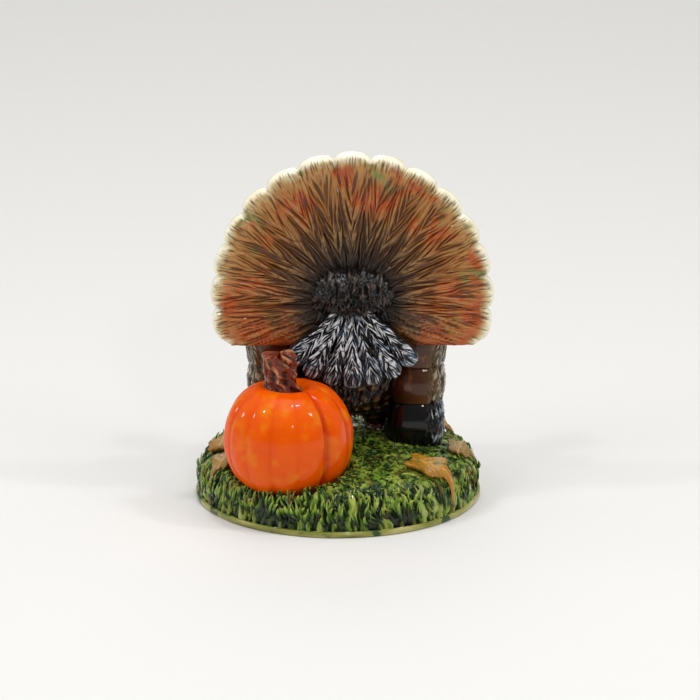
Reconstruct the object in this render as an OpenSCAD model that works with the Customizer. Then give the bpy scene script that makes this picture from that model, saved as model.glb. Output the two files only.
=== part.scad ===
// Strutting turkey figurine on an oval grass mound, with fallen leaves and a pumpkin.
// It is an assembly of separately cast pieces, glued face to face with a thin glue line.
// +Z is up and +Y is the way the bird faces. The origin is the middle of the underside.

/* [Base] */
// Width of the base, side to side
base_w = 48.6; // [40:0.1:60]
// Depth of the base, front to back
base_d = 52; // [43:0.1:64]
// Thickness of the smooth footing under the grass
footing_h = 1; // [0.8:0.1:2]
// How far the footing stands out past the grass
footing_lip = 0.4; // [0.2:0.1:1]
// Height of the grass at its steep edge
grass_edge_h = 5.6; // [4:0.1:7]
// Further height of the grass in its middle
grass_crown_h = 3.2; // [1:0.1:5]

/* [Body] */
// How far right of the base's middle the bird stands
bird_x = 2.4; // [-4:0.1:4]
// How far forward of the base's middle the body's centre is
body_y = 6.5; // [2:0.1:9]
// Width of the body
body_w = 21; // [17:0.1:26]
// Length of the body, back to chest, before its back is cut flat
body_len = 22; // [18:0.1:27]
// Height of the body
body_h = 23; // [19:0.1:28]
// Room under the body, from the top of the grass
leg_room = 3.5; // [2.9:0.1:6]
// Distance from the body's centre back to its flat back
back_cut = 7.5; // [5:0.1:8]

/* [Tail fan] */
// Number of tail feathers
feather_count = 15; // [11:2:17]
// Length of the middle tail feather, from the fan's centre
feather_len = 26; // [20:0.1:31]
// Length of the outermost tail feathers
side_feather_len = 23.9; // [19:0.1:28]
// Angle that each tail feather fills
feather_angle = 14.3; // [10:0.1:17]
// Depth of the round end of each feather
tip_round = 1.3; // [0.8:0.1:1.8]
// Thickness of the tail feathers
feather_t = 2.2; // [1.2:0.1:3]
// Radius of the hub that the tail feathers are glued round
hub_r = 5.5; // [4:0.1:7]
// Thickness of the hub
hub_t = 4; // [3.2:0.1:6]
// How far down over the body's flat back the hub reaches
hub_overlap = 3.5; // [2:0.1:5]

/* [Rump and coverts] */
// Width of the rump dome
dome_w = 11.8; // [9:0.1:14]
// Height of the rump dome
dome_h = 9.2; // [7:0.1:11]
// How far back the rump dome stands out
dome_depth = 4.2; // [2:0.1:6]
// Number of covert feathers under the dome
covert_count = 7; // [5:2:9]
// Length of the coverts, from the dome's centre
covert_len = 15.6; // [12:0.1:19]
// Thickness of the coverts
covert_t = 2.2; // [1.2:0.1:3]

/* [Wings] */
// Width across both wings
wing_span = 33; // [29:0.1:39]
// Length of a wing, back to front
wing_len = 13; // [10:0.1:16]
// Height of the wing coverts' lower edge above the grass
wing_covert_z = 13.3; // [11:0.1:16]
// Height of the secondaries' lower edge above the grass
wing_second_z = 6.8; // [5.5:0.1:8.5]

/* [Legs] */
// Distance from the bird's middle to each leg
leg_x = 4; // [3.6:0.1:5]
// Radius of the feathered thigh at its top
thigh_r = 2.8; // [2:0.1:3.2]
// Radius of the bare shank
shank_r = 0.8; // [0.5:0.1:1.2]
// Height of the shank's top above the grass
shank_h = 1.8; // [1.5:0.1:2.2]
// Length of the middle toe
toe_len = 3.6; // [2.5:0.1:4.5]
// Thickness of the toes
toe_t = 0.8; // [0.5:0.1:1.2]

/* [Neck and head] */
// Radius of the neck where it leaves the body
neck_r = 3.4; // [2.5:0.1:4]
// Radius of the neck under the head
throat_r = 2.3; // [1.8:0.1:2.6]
// Height of the neck
neck_h = 5; // [3:0.1:8]
// Width of the head
head_w = 6.2; // [5.2:0.1:8]
// Length of the head without its beak
head_len = 7.4; // [6:0.1:9]
// Height of the head
head_h = 6.4; // [5:0.1:8]
// Length of the beak
beak_len = 3.2; // [2:0.1:5]
// Radius of the beak at its root
beak_r = 1.2; // [0.8:0.1:1.4]
// Length of the snood that hangs beside the beak
snood_len = 4.2; // [2:0.1:6]
// Radius of the snood
snood_r = 0.6; // [0.4:0.1:0.8]
// Length of the wattle that hangs under the head
wattle_len = 4.4; // [3:0.1:6]
// Radius of the wattle
wattle_r = 1.3; // [0.8:0.1:1.8]
// Radius of the eyes
eye_r = 0.55; // [0.3:0.05:0.8]
// Length of the breast tuft
tuft_len = 11; // [6:0.1:13]
// Radius of the breast tuft at its root
tuft_r = 0.9; // [0.5:0.1:1.4]

/* [Pumpkin] */
// Radius of the pumpkin
pumpkin_r = 11.2; // [9:0.1:13.4]
// Height of the pumpkin
pumpkin_h = 20; // [16:0.1:24]
// How far left of the base's middle the pumpkin is
pumpkin_x = -8.3; // [-10:0.1:-6]
// Depth that the pumpkin is sunk below the top of the grass
pumpkin_sink = 6; // [5:0.1:7.2]
// Depth of the hollows at the pumpkin's top and bottom
pumpkin_dip = 2; // [1:0.1:3]
// Number of the pumpkin's ribs
rib_count = 12; // [8:1:16]
// Depth of the grooves between the ribs
rib_groove = 1; // [0.4:0.1:1.6]
// Height of the stem
stem_h = 5.6; // [4:0.1:8]
// Radius of the stem at its foot
stem_r = 2.7; // [1.6:0.1:3.2]
// How far left the stem leans at its top
stem_lean = 2.4; // [0:0.1:4]

/* [Leaves] */
// Thickness of the fallen leaves
leaf_t = 0.7; // [0.4:0.1:1.2]

/* [Glue line] */
// Gap between pieces that follow each other's curved surface
glue_gap = 0.15; // [0.1:0.01:0.2]
// Gap between neighbouring feathers
feather_gap = 0.06; // [0.02:0.01:0.1]

/* [Hidden] */
$fn = 48;
RIGHT = 1;
LEFT = -1;
SECTORS = 64;             // steps round the mound
RING_POINTS = 24;         // points round a lofted piece
CAP = [0.05, 0.35, 0.7];  // sizes of the rings that carry a curved surface over a piece's end

grass_top = footing_h + grass_edge_h + grass_crown_h;
body_z = grass_top + leg_room + body_h / 2;
back_y = body_y - back_cut;
back_share = sqrt(1 - pow(back_cut / (body_len / 2), 2));

hub_z = body_z + back_share * body_h / 2 + hub_r - hub_overlap;
fan_back_y = back_y - hub_t;
fan_front_y = fan_back_y + feather_t;
fan_half = (feather_count - 1) / 2;
dome_z = hub_z + 1.3;
covert_half = (covert_count - 1) / 2;

wing_out = wing_span / 2;
wing_in = leg_x + thigh_r + 0.4;
wing_y = fan_front_y + 2 * glue_gap + wing_len / 2;
wing_top_z = body_z + 0.36 * body_h;
wing_back_y = wing_y - wing_len / 2;
wing_side_x = bird_x + mix(wing_in, wing_out, 0.93);  // outer side of a wing at the grass

covert_back_y = fan_back_y - feather_gap - covert_t;
flat_share = 0.965;  // where the grass turns down to its steep edge
grass_half_w = base_w / 2 - footing_lip;
grass_half_d = base_d / 2 - footing_lip;

leg_y = body_y - 0.5;
head_y = body_y + 6;
neck_y = body_y + 4.5;
neck_foot_z = body_z + body_h / 2 * sqrt(1 - pow(4.5 / (body_len / 2), 2));
head_z = neck_foot_z + neck_h + head_h / 2;
beak_z = head_z - 0.3;

// Leaf: name, place as shares of the grass's half width and depth, turn, length, width, how far
// its tip curls up, and what it keeps clear of: the pumpkin, or the right wing's side or front
LEAVES = [
  ["leaf_right", [0.66, -0.5], -20, 9.6, 7, 0.6, "pumpkin"],
  ["leaf_right_edge", [0.85, -0.08], 80, 6.4, 4.6, 0.4, "wing side"],
  ["leaf_right_back", [0.76, 0.44], 76, 5.6, 4.4, 3, "wing front"],
  ["leaf_left", [-0.82, -0.33], 70, 5.4, 4.4, 0.4, "pumpkin"],
  ["leaf_left_back", [-0.84, 0], 80, 6.2, 4.6, 0.8, "pumpkin"]
];

tail_names = [for (i = [1:feather_count]) str("tail_feather_", i)];
covert_names = [for (i = [1:covert_count]) str("covert_feather_", i)];
leaf_names = [for (leaf = LEAVES) leaf[0]];

function mix(a, b, t) = a + (b - a) * t;
function round_top(share) = sqrt(max(0, 1 - share));

// Height of the grass before the pumpkin's seat is pressed in, at a point given from the middle
function grass_edge_share(x, y) =
  sqrt(pow(x / grass_half_w, 2) + pow(y / grass_half_d, 2));
function open_grass(x, y) =
  let (share = min(1, grass_edge_share(x, y)))
  footing_h + grass_edge_h * round_top(pow(share, 30))
  + grass_crown_h * pow(1 - share * share, 0.9);

// A point, or the nearest point to it that is short of the steep edge
function within_edge(p) = p * min(1, flat_share / grass_edge_share(p[0], p[1]));

// Half the pumpkin's height at a distance from its middle line
function pumpkin_half(d) = pumpkin_h / 2 * pow(1 - pow(min(1, d / pumpkin_r), 2.5), 0.46);
pumpkin_z = grass_top - pumpkin_sink + pumpkin_h / 2;

// The pumpkin stands just clear of the coverts' lower edge, which is an arc, and of the wings
function covert_low_z(x) = dome_z - sqrt(max(0, pow(covert_len, 2) - pow(x - bird_x, 2)));
function pumpkin_width_at(z) =
  pumpkin_r * pow(1 - pow(min(1, max(0, 2 * z / pumpkin_h)), 1 / 0.46), 0.4);
function pumpkin_reach(x) =
  let (d = pumpkin_width_at(covert_low_z(x) - pumpkin_z - 2 * glue_gap))
  sqrt(max(0, d * d - pow(x - pumpkin_x, 2)));
covert_reach = max([for (x = [bird_x - covert_len:0.5:bird_x]) pumpkin_reach(x)]);
pumpkin_y = min(covert_back_y - covert_reach, wing_back_y - pumpkin_r + 1);

function pumpkin_hollow(d) = pumpkin_dip * exp(-pow(d / (0.3 * pumpkin_r), 2));

// Height of the grass with the pumpkin's seat
function grass(x, y) =
  let (d = norm([x - pumpkin_x, y - pumpkin_y]) - glue_gap)
  d >= pumpkin_r ? open_grass(x, y)
  : min(open_grass(x, y), pumpkin_z - pumpkin_half(max(0, d)) - glue_gap);

// The body's surface, measured from the bird's middle line
function body_share(u, v) = round_top(u * u + v * v);
function body_half_x(y, z) =
  body_w / 2 * body_share((y - body_y) / (body_len / 2), (z - body_z) / (body_h / 2));
function body_half_z(x, y) =
  body_h / 2 * body_share(x / (body_w / 2), (y - body_y) / (body_len / 2));

// Half the head's height, and half its length
function head_half_z(x, y) =
  head_h / 2 * body_share(x / (head_w / 2), (y - head_y) / (head_len / 2));
function head_half_y(x, z) =
  head_len / 2 * body_share(x / (head_w / 2), (z - head_z) / (head_h / 2));

// A closed solid through rings that all have the same number of points, from first to last.
// Each ring runs anticlockwise as seen from the last ring.
module loft(rings) {
  n = len(rings[0]);
  last = len(rings) - 1;
  walls = [for (k = [0:last - 1], i = [0:n - 1])
    [k * n + i, (k + 1) * n + i, (k + 1) * n + (i + 1) % n, k * n + (i + 1) % n]];
  foot = [for (i = [0:n - 1]) [last * n + n, i, (i + 1) % n]];
  crown = [for (i = [0:n - 1]) [last * n + n + 1, last * n + (i + 1) % n, last * n + i]];
  middles = [for (ring = [rings[0], rings[last]]) [for (p = ring) 1] * ring / n];
  polyhedron(concat([for (ring = rings) each ring], middles), concat(walls, foot, crown));
}

// Steps of a loft from 0 to 1 as [step, size], with its ends closed by the CAP rings
function capped(steps) = concat(
  [for (size = CAP) [0, size]],
  [for (k = [0:steps]) [k / steps, 1]],
  [for (k = [len(CAP) - 1:-1:0]) [1, CAP[k]]]
);

// Points of an oval in X and Y, as offsets from its middle
function oval(rx, ry, n = RING_POINTS) =
  [for (i = [0:n - 1]) [rx * cos(360 * i / n), ry * sin(360 * i / n)]];

module ellipsoid(size) {
  scale(size) sphere(d = 1);
}

module footing() {
  color("olivedrab") linear_extrude(footing_h) polygon(oval(base_w / 2, base_d / 2, 2 * SECTORS));
}

module grass_mound() {
  shares = [0.9995, 0.997, 0.99, 0.975, 0.95, for (i = [22:-1:1]) i / 24];
  function ring(share, level) = [for (p = oval(grass_half_w * share, grass_half_d * share, SECTORS))
    [p[0], p[1], level < 0 ? grass(p[0], p[1]) : level]];
  color("darkolivegreen") loft(concat([ring(1, footing_h)], [for (s = shares) ring(s, -1)]));
}

// A thin plate that lies on the grass. radii is its outline, as a distance for each step of angle,
// and curl is how far the end at angle 0 rises. It stops short of the grass's steep edge.
module draped(middle, radii, turn, stretch, thickness, curl) {
  n = len(radii);
  function place(share, i) =
    let (
      r = radii[i] * share, a = 360 * i / n,
      u = r * cos(a), v = r * sin(a) * stretch
    )
    within_edge(middle + [u * cos(turn) - v * sin(turn), u * sin(turn) + v * cos(turn)]);
  function ring(share, rise) = [for (i = [0:n - 1])
    let (p = place(share, i), bend = curl * pow(share * max(0, cos(360 * i / n)), 2))
    [p[0], p[1], grass(p[0], p[1]) + glue_gap + bend + rise]];
  loft([for (step = capped(1)) ring(step[1], step[0] * thickness)]);
}

module fallen_leaf(leaf) {
  points = 40;
  radii = [for (i = [0:points - 1]) leaf[3] / 2 * (0.82 + 0.18 * cos(5 * 360 * i / points))];
  x = leaf[1][0] * grass_half_w;
  y = leaf[1][1] * grass_half_d;
  clear_x = wing_side_x + leaf[4] / 2 + glue_gap;
  clear_y = wing_y + (wing_len + leaf[3]) / 2;
  seat = [pumpkin_x, pumpkin_y];
  away = [x, y] - seat;
  room = pumpkin_r + leaf[4] / 4;
  place = leaf[6] == "wing side" ? [max(x, clear_x), y]
    : leaf[6] == "wing front" ? [x, max(y, clear_y)]
    : seat + away * max(1, room / norm(away));
  color("peru") draped(place, radii, leaf[2], leaf[4] / leaf[3], leaf_t, leaf[5]);
}

module pumpkin() {
  points = 5 * rib_count;
  steps = 16;
  function groove(i) = rib_groove * pow(1 - abs(sin(180 * i / 5)), 2);
  function ring(tilt) =
    let (d = pumpkin_r * sin(tilt), half = pumpkin_half(d) - pumpkin_hollow(d))
    [for (i = [0:points - 1])
      let (a = 360 * i / points, r = d * (1 - groove(i) / pumpkin_r))
      [r * cos(a), r * sin(a), tilt > 90 ? half : -half]];
  color("orangered") translate([pumpkin_x, pumpkin_y, pumpkin_z])
    loft([for (k = [0:steps]) ring(mix(4, 176, k / steps))]);
}

module pumpkin_stem() {
  points = 30;
  steps = 6;
  foot_z = pumpkin_z + pumpkin_half(0) - pumpkin_hollow(0);
  function flute(i, t) = 1 + 0.14 * cos(5 * 360 * i / points + 70 * t);
  function ring(t, size) = let (r = size * mix(stem_r, 0.62 * stem_r, pow(t, 0.6)))
    [for (i = [0:points - 1])
      let (
        a = 360 * i / points, d = r * flute(i, t), x = d * cos(a), y = d * sin(a),
        seat = pumpkin_half(d) - pumpkin_hollow(d)
      )
      [pumpkin_x + x - stem_lean * t * t, pumpkin_y + y,
       mix(pumpkin_z + seat + glue_gap, foot_z + stem_h, t)]];
  color("saddlebrown") loft([for (step = capped(steps)) ring(step[0], step[1])]);
}

module body() {
  steps = 16;
  first = acos(back_cut / (body_len / 2));
  function ring(a) = [for (p = oval(body_w / 2 * sin(a), body_h / 2 * sin(a), 48))
    [bird_x - p[0], body_y - body_len / 2 * cos(a), body_z + p[1]]];
  color("sienna") loft([for (k = [0:steps]) ring(mix(first, 179, k / steps))]);
}

module tail_hub() {
  color("black") translate([bird_x, back_y, hub_z]) rotate([90, 0, 0]) cylinder(r = hub_r, h = hub_t);
}

module rump_dome() {
  color("black") intersection() {
    translate([bird_x, fan_back_y, dome_z]) ellipsoid([dome_w, 2 * dome_depth, dome_h]);
    translate([bird_x - dome_w, fan_back_y - 2 * dome_depth, dome_z - dome_h])
      cube([2 * dome_w, 2 * dome_depth, 2 * dome_h]);
  }
}

// A feather's flat blank: a wedge that points up, with a shallow round tip
module feather_blank(foot_r, tip_r, angle, thickness) {
  half = angle / 2;
  side_r = (tip_r - tip_round) / cos(half);
  half_w = side_r * sin(half) - feather_gap / 2;
  arc_r = (half_w * half_w + tip_round * tip_round) / (2 * tip_round);
  sweep = asin(min(1, half_w / arc_r));
  tip = [for (k = [-6:6])
    [arc_r * sin(-sweep * k / 6), tip_r - arc_r + arc_r * cos(sweep * k / 6)]];
  root_r = 0.8 * foot_r;
  root_w = root_r * tan(half) - feather_gap / 2;
  rotate([90, 0, 0]) linear_extrude(thickness)
    difference() {
      polygon(concat([[-root_w, root_r], [root_w, root_r]], tip));
      circle(r = foot_r);
    }
}

function tail_len(place) = mix(side_feather_len, feather_len, pow(cos(90 * place / fan_half), 2));

module tail_feather(i) {
  place = i - 1 - fan_half;
  color("peru") translate([bird_x, fan_front_y, hub_z]) rotate([0, place * feather_angle, 0])
    feather_blank(hub_r + feather_gap, tail_len(place), feather_angle, feather_t);
}

module covert_feather(i) {
  place = i - 1 - covert_half;
  color("slategray") translate([bird_x, fan_back_y - feather_gap, dome_z])
    rotate([0, 180 + place * feather_angle, 0])
      feather_blank(dome_w / 2 + feather_gap, covert_len, feather_angle, covert_t);
}

// One tier of a wing: rings stacked up in Z, kept outside the body. Each level is [z, size], and
// a level with no z lies on the grass.
module wing_tier(side, levels) {
  mid_x = (wing_in + wing_out) / 2;
  half_x = (wing_out - wing_in) / 2;
  function point(p, z) =
    let (x = mid_x + p[0], y = wing_y + p[1], clear = body_half_x(y, z) + glue_gap)
    [bird_x + side * max(x, clear), y, z];
  function ring(level) = [for (p = oval(side * half_x * level[1], wing_len / 2 * level[1]))
    let (q = point([side * p[0], p[1]], is_undef(level[0]) ? grass_top : level[0]))
    is_undef(level[0]) ? [q[0], q[1], grass(q[0], q[1]) + glue_gap] : q];
  loft([for (level = levels) ring(level)]);
}

module wing_coverts(side) {
  foot = grass_top + wing_covert_z;
  steps = 8;
  color("sienna") wing_tier(side, [for (k = [0:steps])
    [mix(foot, wing_top_z, k / steps), 0.3 + 0.7 * round_top(pow(k / steps, 3))]]);
}

module wing_secondaries(side) {
  foot = grass_top + wing_second_z;
  top = grass_top + wing_covert_z - glue_gap;
  color("saddlebrown") wing_tier(side, [for (k = [0:3])
    [mix(foot, top, k / 3), mix(0.9, 0.96, k / 3)]]);
}

module wing_primaries(side) {
  top = grass_top + wing_second_z - glue_gap;
  soles = [for (size = CAP) [undef, 0.84 * size]];
  color("dimgray") wing_tier(side, concat(soles, [[undef, 0.84], [top - 2, 0.86], [top, 0.88]]));
}

module thigh(side) {
  foot_z = grass_top + shank_h;
  function ring(t, size) = let (r = size * mix(shank_r + 0.5, thigh_r, t)) [for (p = oval(r, r))
    let (x = side * leg_x + p[0], y = leg_y + p[1])
    [bird_x + x, y, mix(foot_z, body_z - body_half_z(x, y) - glue_gap, t)]];
  color("sienna") loft([for (step = capped(4)) ring(step[0], step[1])]);
}

module shank(side) {
  x = bird_x + side * leg_x;
  function ring(t, size) = [for (p = oval(size * shank_r, size * shank_r))
    let (foot_top = grass(x + p[0], leg_y + p[1]) + glue_gap + toe_t)
    [x + p[0], leg_y + p[1], mix(foot_top, grass_top + shank_h, t)]];
  color("indianred") loft([for (step = capped(1)) ring(step[0], step[1])]);
}

module foot(side) {
  points = 48;
  toes = [50, 90, 130, 270];
  function reach(a) = max([for (toe = toes) pow(max(0, cos(a - toe)), 24) * (toe == 270 ? 0.6 : 1)]);
  radii = [for (i = [0:points - 1]) max(1.3 * shank_r, toe_len * reach(360 * i / points))];
  color("indianred") draped([bird_x + side * leg_x, leg_y], radii, 0, 1, toe_t, 0);
}

module neck() {
  function ring(t, size) = [for (p = oval(size, size))
    let (
      low = [neck_r * p[0], neck_y + neck_r * p[1]],
      high = [throat_r * p[0], head_y - 0.6 + throat_r * p[1]],
      low_z = body_z + body_half_z(low[0], low[1]) + glue_gap,
      high_z = head_z - head_half_z(high[0], high[1]) - glue_gap
    )
    [bird_x + mix(low[0], high[0], t), mix(low[1], high[1], t), mix(low_z, high_z, t)]];
  color("firebrick") loft([for (step = capped(5)) ring(step[0], step[1])]);
}

module head() {
  color("firebrick") translate([bird_x, head_y, head_z]) ellipsoid([head_w, head_len, head_h]);
}

module beak() {
  function ring(t, size) = let (r = size * beak_r * (1 - 0.85 * pow(t, 1.4))) [for (p = oval(r, r))
    [bird_x - p[0], head_y + head_half_y(p[0], beak_z + p[1]) + glue_gap + beak_len * t,
     beak_z + p[1] - 0.8 * t * t]];
  color("khaki") loft([for (step = capped(4)) ring(step[0], step[1])]);
}

// A hanging piece that swells and tapers between its two ends
module drop(x, y, top_z, length, r, taper) {
  steps = 7;
  function ring(t) = let (s = r * sin(mix(20, taper, t))) [for (p = oval(s, s))
    [bird_x + x + p[0], y + p[1], top_z - length * (1 - t)]];
  color("crimson") loft([for (k = [0:steps]) ring(k / steps)]);
}

module snood() {
  x = beak_r + snood_r + glue_gap;
  y = head_y + head_half_y(x, head_z) + snood_r + glue_gap;
  drop(x, y, beak_z + beak_r, snood_len, snood_r, 150);
}

module wattle() {
  front = max(neck_y + neck_r, head_y + throat_r);
  drop(0, front + wattle_r, head_z - head_half_z(0, front) - glue_gap, wattle_len, wattle_r, 120);
}

module eye(side) {
  forward = 0.36;
  up = 0.3;
  x = head_w / 2 * body_share(forward, up) + eye_r + glue_gap;
  color("black")
    translate([bird_x + side * x, head_y + forward * head_len / 2, head_z + up * head_h / 2])
      sphere(r = eye_r);
}

module breast_tuft() {
  y = body_y + body_len / 2 + glue_gap + tuft_r;
  function ring(t) = let (r = mix(0.3, tuft_r, t)) [for (p = oval(r, r, 20))
    [bird_x + p[0], y + p[1], body_z - tuft_len * (1 - t)]];
  color("black") loft([for (k = [0:4]) ring(k / 4)]);
}

footing();
grass_mound();
pumpkin();
pumpkin_stem();
for (leaf = LEAVES) fallen_leaf(leaf);
body();
tail_hub();
rump_dome();
for (i = [1:feather_count]) tail_feather(i);
for (i = [1:covert_count]) covert_feather(i);
wing_coverts(LEFT);  // wing_coverts_left
wing_coverts(RIGHT);  // wing_coverts_right
wing_secondaries(LEFT);  // wing_secondaries_left
wing_secondaries(RIGHT);  // wing_secondaries_right
wing_primaries(LEFT);  // wing_primaries_left
wing_primaries(RIGHT);  // wing_primaries_right
thigh(LEFT);  // thigh_left
thigh(RIGHT);  // thigh_right
shank(LEFT);  // shank_left
shank(RIGHT);  // shank_right
foot(LEFT);  // foot_left
foot(RIGHT);  // foot_right
neck();
head();
beak();
snood();
wattle();
eye(LEFT);  // eye_left
eye(RIGHT);  // eye_right
breast_tuft();
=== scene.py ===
"""Painted resin figurine: a strutting turkey on a grass mound, with fallen leaves and a pumpkin."""

import math

import bmesh
import bpy
import numpy as np
from bpy.props import FloatProperty, FloatVectorProperty, PointerProperty
from bpy.types import Operator, Panel, PropertyGroup
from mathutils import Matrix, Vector
from mathutils.bvhtree import BVHTree


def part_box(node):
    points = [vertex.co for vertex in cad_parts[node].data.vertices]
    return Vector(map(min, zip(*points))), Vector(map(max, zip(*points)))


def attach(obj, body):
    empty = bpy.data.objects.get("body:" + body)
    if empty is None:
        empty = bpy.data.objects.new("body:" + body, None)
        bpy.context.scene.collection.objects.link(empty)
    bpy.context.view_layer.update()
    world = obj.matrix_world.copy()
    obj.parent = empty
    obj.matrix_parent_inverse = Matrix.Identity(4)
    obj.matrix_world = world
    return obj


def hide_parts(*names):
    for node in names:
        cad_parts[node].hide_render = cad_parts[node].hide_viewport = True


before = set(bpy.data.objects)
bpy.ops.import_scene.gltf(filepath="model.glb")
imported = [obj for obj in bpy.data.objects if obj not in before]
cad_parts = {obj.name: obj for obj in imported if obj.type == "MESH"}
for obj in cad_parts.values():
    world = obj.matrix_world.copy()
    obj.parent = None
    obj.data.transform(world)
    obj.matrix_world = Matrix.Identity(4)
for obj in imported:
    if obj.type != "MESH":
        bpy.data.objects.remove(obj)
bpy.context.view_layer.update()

bl_info = {
    "name": "Turkey Figurine",
    "version": (1, 0, 0),
    "blender": (4, 5, 0),
    "location": "View3D > Sidebar > Turkey",
    "description": "Builds the painted resin surfaces of a turkey figurine round its packed frame",
    "category": "Object",
}

MM = 0.001
ROOT = "root"
FEATHERS = [f"tail_feather_{i}" for i in range(1, 16)]
COVERTS = [f"covert_feather_{i}" for i in range(1, 8)]
LEAVES = ("leaf_right", "leaf_right_edge", "leaf_right_back", "leaf_left", "leaf_left_back")
SIDES = {"left": -1, "right": 1}


# ---------------------------------------------------------------- numbers and shapes


def linear(shade):
    """Linear red, green, blue and alpha from an sRGB hex colour, or from the panel's linear one."""
    if not isinstance(shade, str):
        return (*shade, 1.0)
    values = [int(shade[i : i + 2], 16) / 255 for i in (1, 3, 5)]
    return (*(v / 12.92 if v <= 0.04045 else ((v + 0.055) / 1.055) ** 2.4 for v in values), 1.0)


def box_mm(node):
    """Lowest and highest corner of a CAD node, in millimetres."""
    low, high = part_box(node)
    return np.array(low) / MM, np.array(high) / MM


def span_mm(node):
    """Centre and half size of a CAD node's box, in millimetres."""
    low, high = box_mm(node)
    return (low + high) / 2, (high - low) / 2


def middle(node):
    return span_mm(node)[0]


def smooth(x, low, high):
    """0 at or before low, 1 at or past high and a smooth step between."""
    t = unit((x - low) / (high - low))
    return t * t * (3 - 2 * t)


def mix(a, b, t):
    return a + (b - a) * t


def bell(x, width):
    """1 at 0, falling to about a third at width and to nothing past it."""
    return np.exp(-((x / width) ** 2))


def unit(x):
    return np.clip(x, 0, 1)


def joined(x, y, z):
    """One array of points from three of coordinates."""
    return np.stack(np.broadcast_arrays(x, y, z), axis=-1)


def noise(x, y, seed=0):
    """Smooth noise from -1 to 1 with features about one unit across, the same on every run."""
    x, y = np.broadcast_arrays(np.asarray(x, float), np.asarray(y, float))
    xi, yi = np.floor(x).astype(np.int64), np.floor(y).astype(np.int64)
    fx, fy = x - xi, y - yi
    fx, fy = fx * fx * (3 - 2 * fx), fy * fy * (3 - 2 * fy)

    def corner(i, j):
        h = (xi + i) * 374761393 + (yi + j) * 668265263 + (seed + 1) * 974711
        h = ((h ^ (h >> 13)) & 0xFFFFFFF) * 1274126177
        return ((h ^ (h >> 16)) & 0xFFFF) / 32767.5 - 1

    low = mix(corner(0, 0), corner(1, 0), fx)
    return mix(low, mix(corner(0, 1), corner(1, 1), fx), fy)


def strokes(beside, ahead, width, length, seed):
    """Irregular carved strokes that run in the ahead direction: 0 in a cut, 1 on a ridge."""
    beside = beside + 0.6 * width * noise(beside / (6 * width), ahead / (0.8 * length), seed + 5)
    broad = noise(beside / width, ahead / length + 0.4 * noise(beside / width, 0, seed + 6), seed)
    narrow = noise(beside / (0.5 * width) + 9, ahead / (0.5 * length), seed + 1)
    return unit(0.5 + 0.85 * broad + 0.3 * narrow)


def barbs(across, along, width, length, slant, seed):
    """Strokes that leave a midrib at a slant towards the tip, different on its two sides."""
    beside = np.abs(across) * np.cos(slant) - along * np.sin(slant)
    ahead = np.abs(across) * np.sin(slant) + along * np.cos(slant)
    left = strokes(beside, ahead, width, length, seed)
    return np.where(across < 0, left, strokes(beside + 31, ahead, width, length, seed + 3))


def scales(around, along):
    """Overlapping feather tips, one unit wide and one unit apart. Returns each point's place across
    its feather from -1 to 1, its place from root to tip, and a number for its feather."""
    across = np.zeros_like(around)
    down = np.zeros_like(around)
    which = np.zeros_like(around)
    for back in (0, 1):
        row = np.floor(along) - back
        shifted = around + 0.5 * (row % 2)
        x = 2 * (shifted - np.round(shifted))
        t = along - row
        inside = t < 1 + 0.42 * np.sqrt(unit(1 - x * x))
        across = np.where(inside, x, across)
        down = np.where(inside, t / 1.42, down)
        which = np.where(inside, np.round(shifted) + 17 * row, which)
    return across, down, which


def skin(name, rings, **masks):
    """A closed mesh through rings of points in millimetres: rings is (steps, points, 3). masks are
    arrays that spread over the same points, kept as attributes for the paint to read."""
    rings = np.asarray(rings, float)
    steps, points = rings.shape[:2]
    ends = rings[[0, -1]].mean(axis=1)
    verts = np.concatenate([rings.reshape(-1, 3), ends]) * MM
    here = np.arange(steps * points).reshape(steps, points)
    ahead = np.roll(here, -1, axis=1)
    quads = np.stack([here[:-1], here[1:], ahead[1:], ahead[:-1]], axis=-1).reshape(-1, 4)
    foot = np.stack([np.full(points, steps * points), here[0], ahead[0]], axis=-1)
    crown = np.stack([np.full(points, steps * points + 1), ahead[-1], here[-1]], axis=-1)
    tris = np.concatenate([quads[:, :3], quads[:, [0, 2, 3]], foot, crown])
    a, b, c = (verts[tris[:, i]] for i in range(3))
    if np.einsum("ij,ij->i", a, np.cross(b, c)).sum() < 0:
        quads, foot, crown = quads[:, ::-1], foot[:, ::-1], crown[:, ::-1]
    mesh = bpy.data.meshes.new(name)
    mesh.from_pydata(verts.tolist(), [], quads.tolist() + foot.tolist() + crown.tolist())
    for mask, values in masks.items():
        values = np.broadcast_to(values, (steps, points))
        data = np.concatenate([values.reshape(-1), values[[0, -1]].mean(axis=1)])
        kept = mesh.attributes.new(mask, "FLOAT", "POINT")
        kept.data.foreach_set("value", data.astype(np.float32))
    mesh.shade_smooth()
    made = bpy.data.objects.new(name, mesh)
    bpy.context.scene.collection.objects.link(made)
    return made


def place(made, slot, material, *nodes):
    """Gives a finished piece its paint and its body, and hides the CAD nodes that it stands for. slot is not
    used.
    """
    made.data.materials.clear()
    made.data.materials.append(material)
    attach(made, ROOT)
    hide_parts(*nodes)
    return made


def once_round(points):
    """Angles once round, in radians, as a row."""
    return np.linspace(0, 2 * math.pi, points, endpoint=False)[None, :]


def evenly(steps, first=0.0, last=1.0):
    """Even steps from first to last, as a column."""
    return np.linspace(first, last, steps)[:, None]


class Ground:
    """Height of the CAD grass mound, found by looking straight down."""

    def __init__(self):
        work = bmesh.new()
        work.from_mesh(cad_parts["grass_mound"].data)
        self.tree = BVHTree.FromBMesh(work)
        self.floor = box_mm("grass_mound")[0][2]
        work.free()

    def at(self, x, y):
        def look(px, py):
            hit = self.tree.ray_cast(Vector((px * MM, py * MM, 1)), Vector((0, 0, -1)))[0]
            return hit.z / MM if hit else self.floor

        return np.vectorize(look)(x, y)


# ---------------------------------------------------------------- paint


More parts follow.
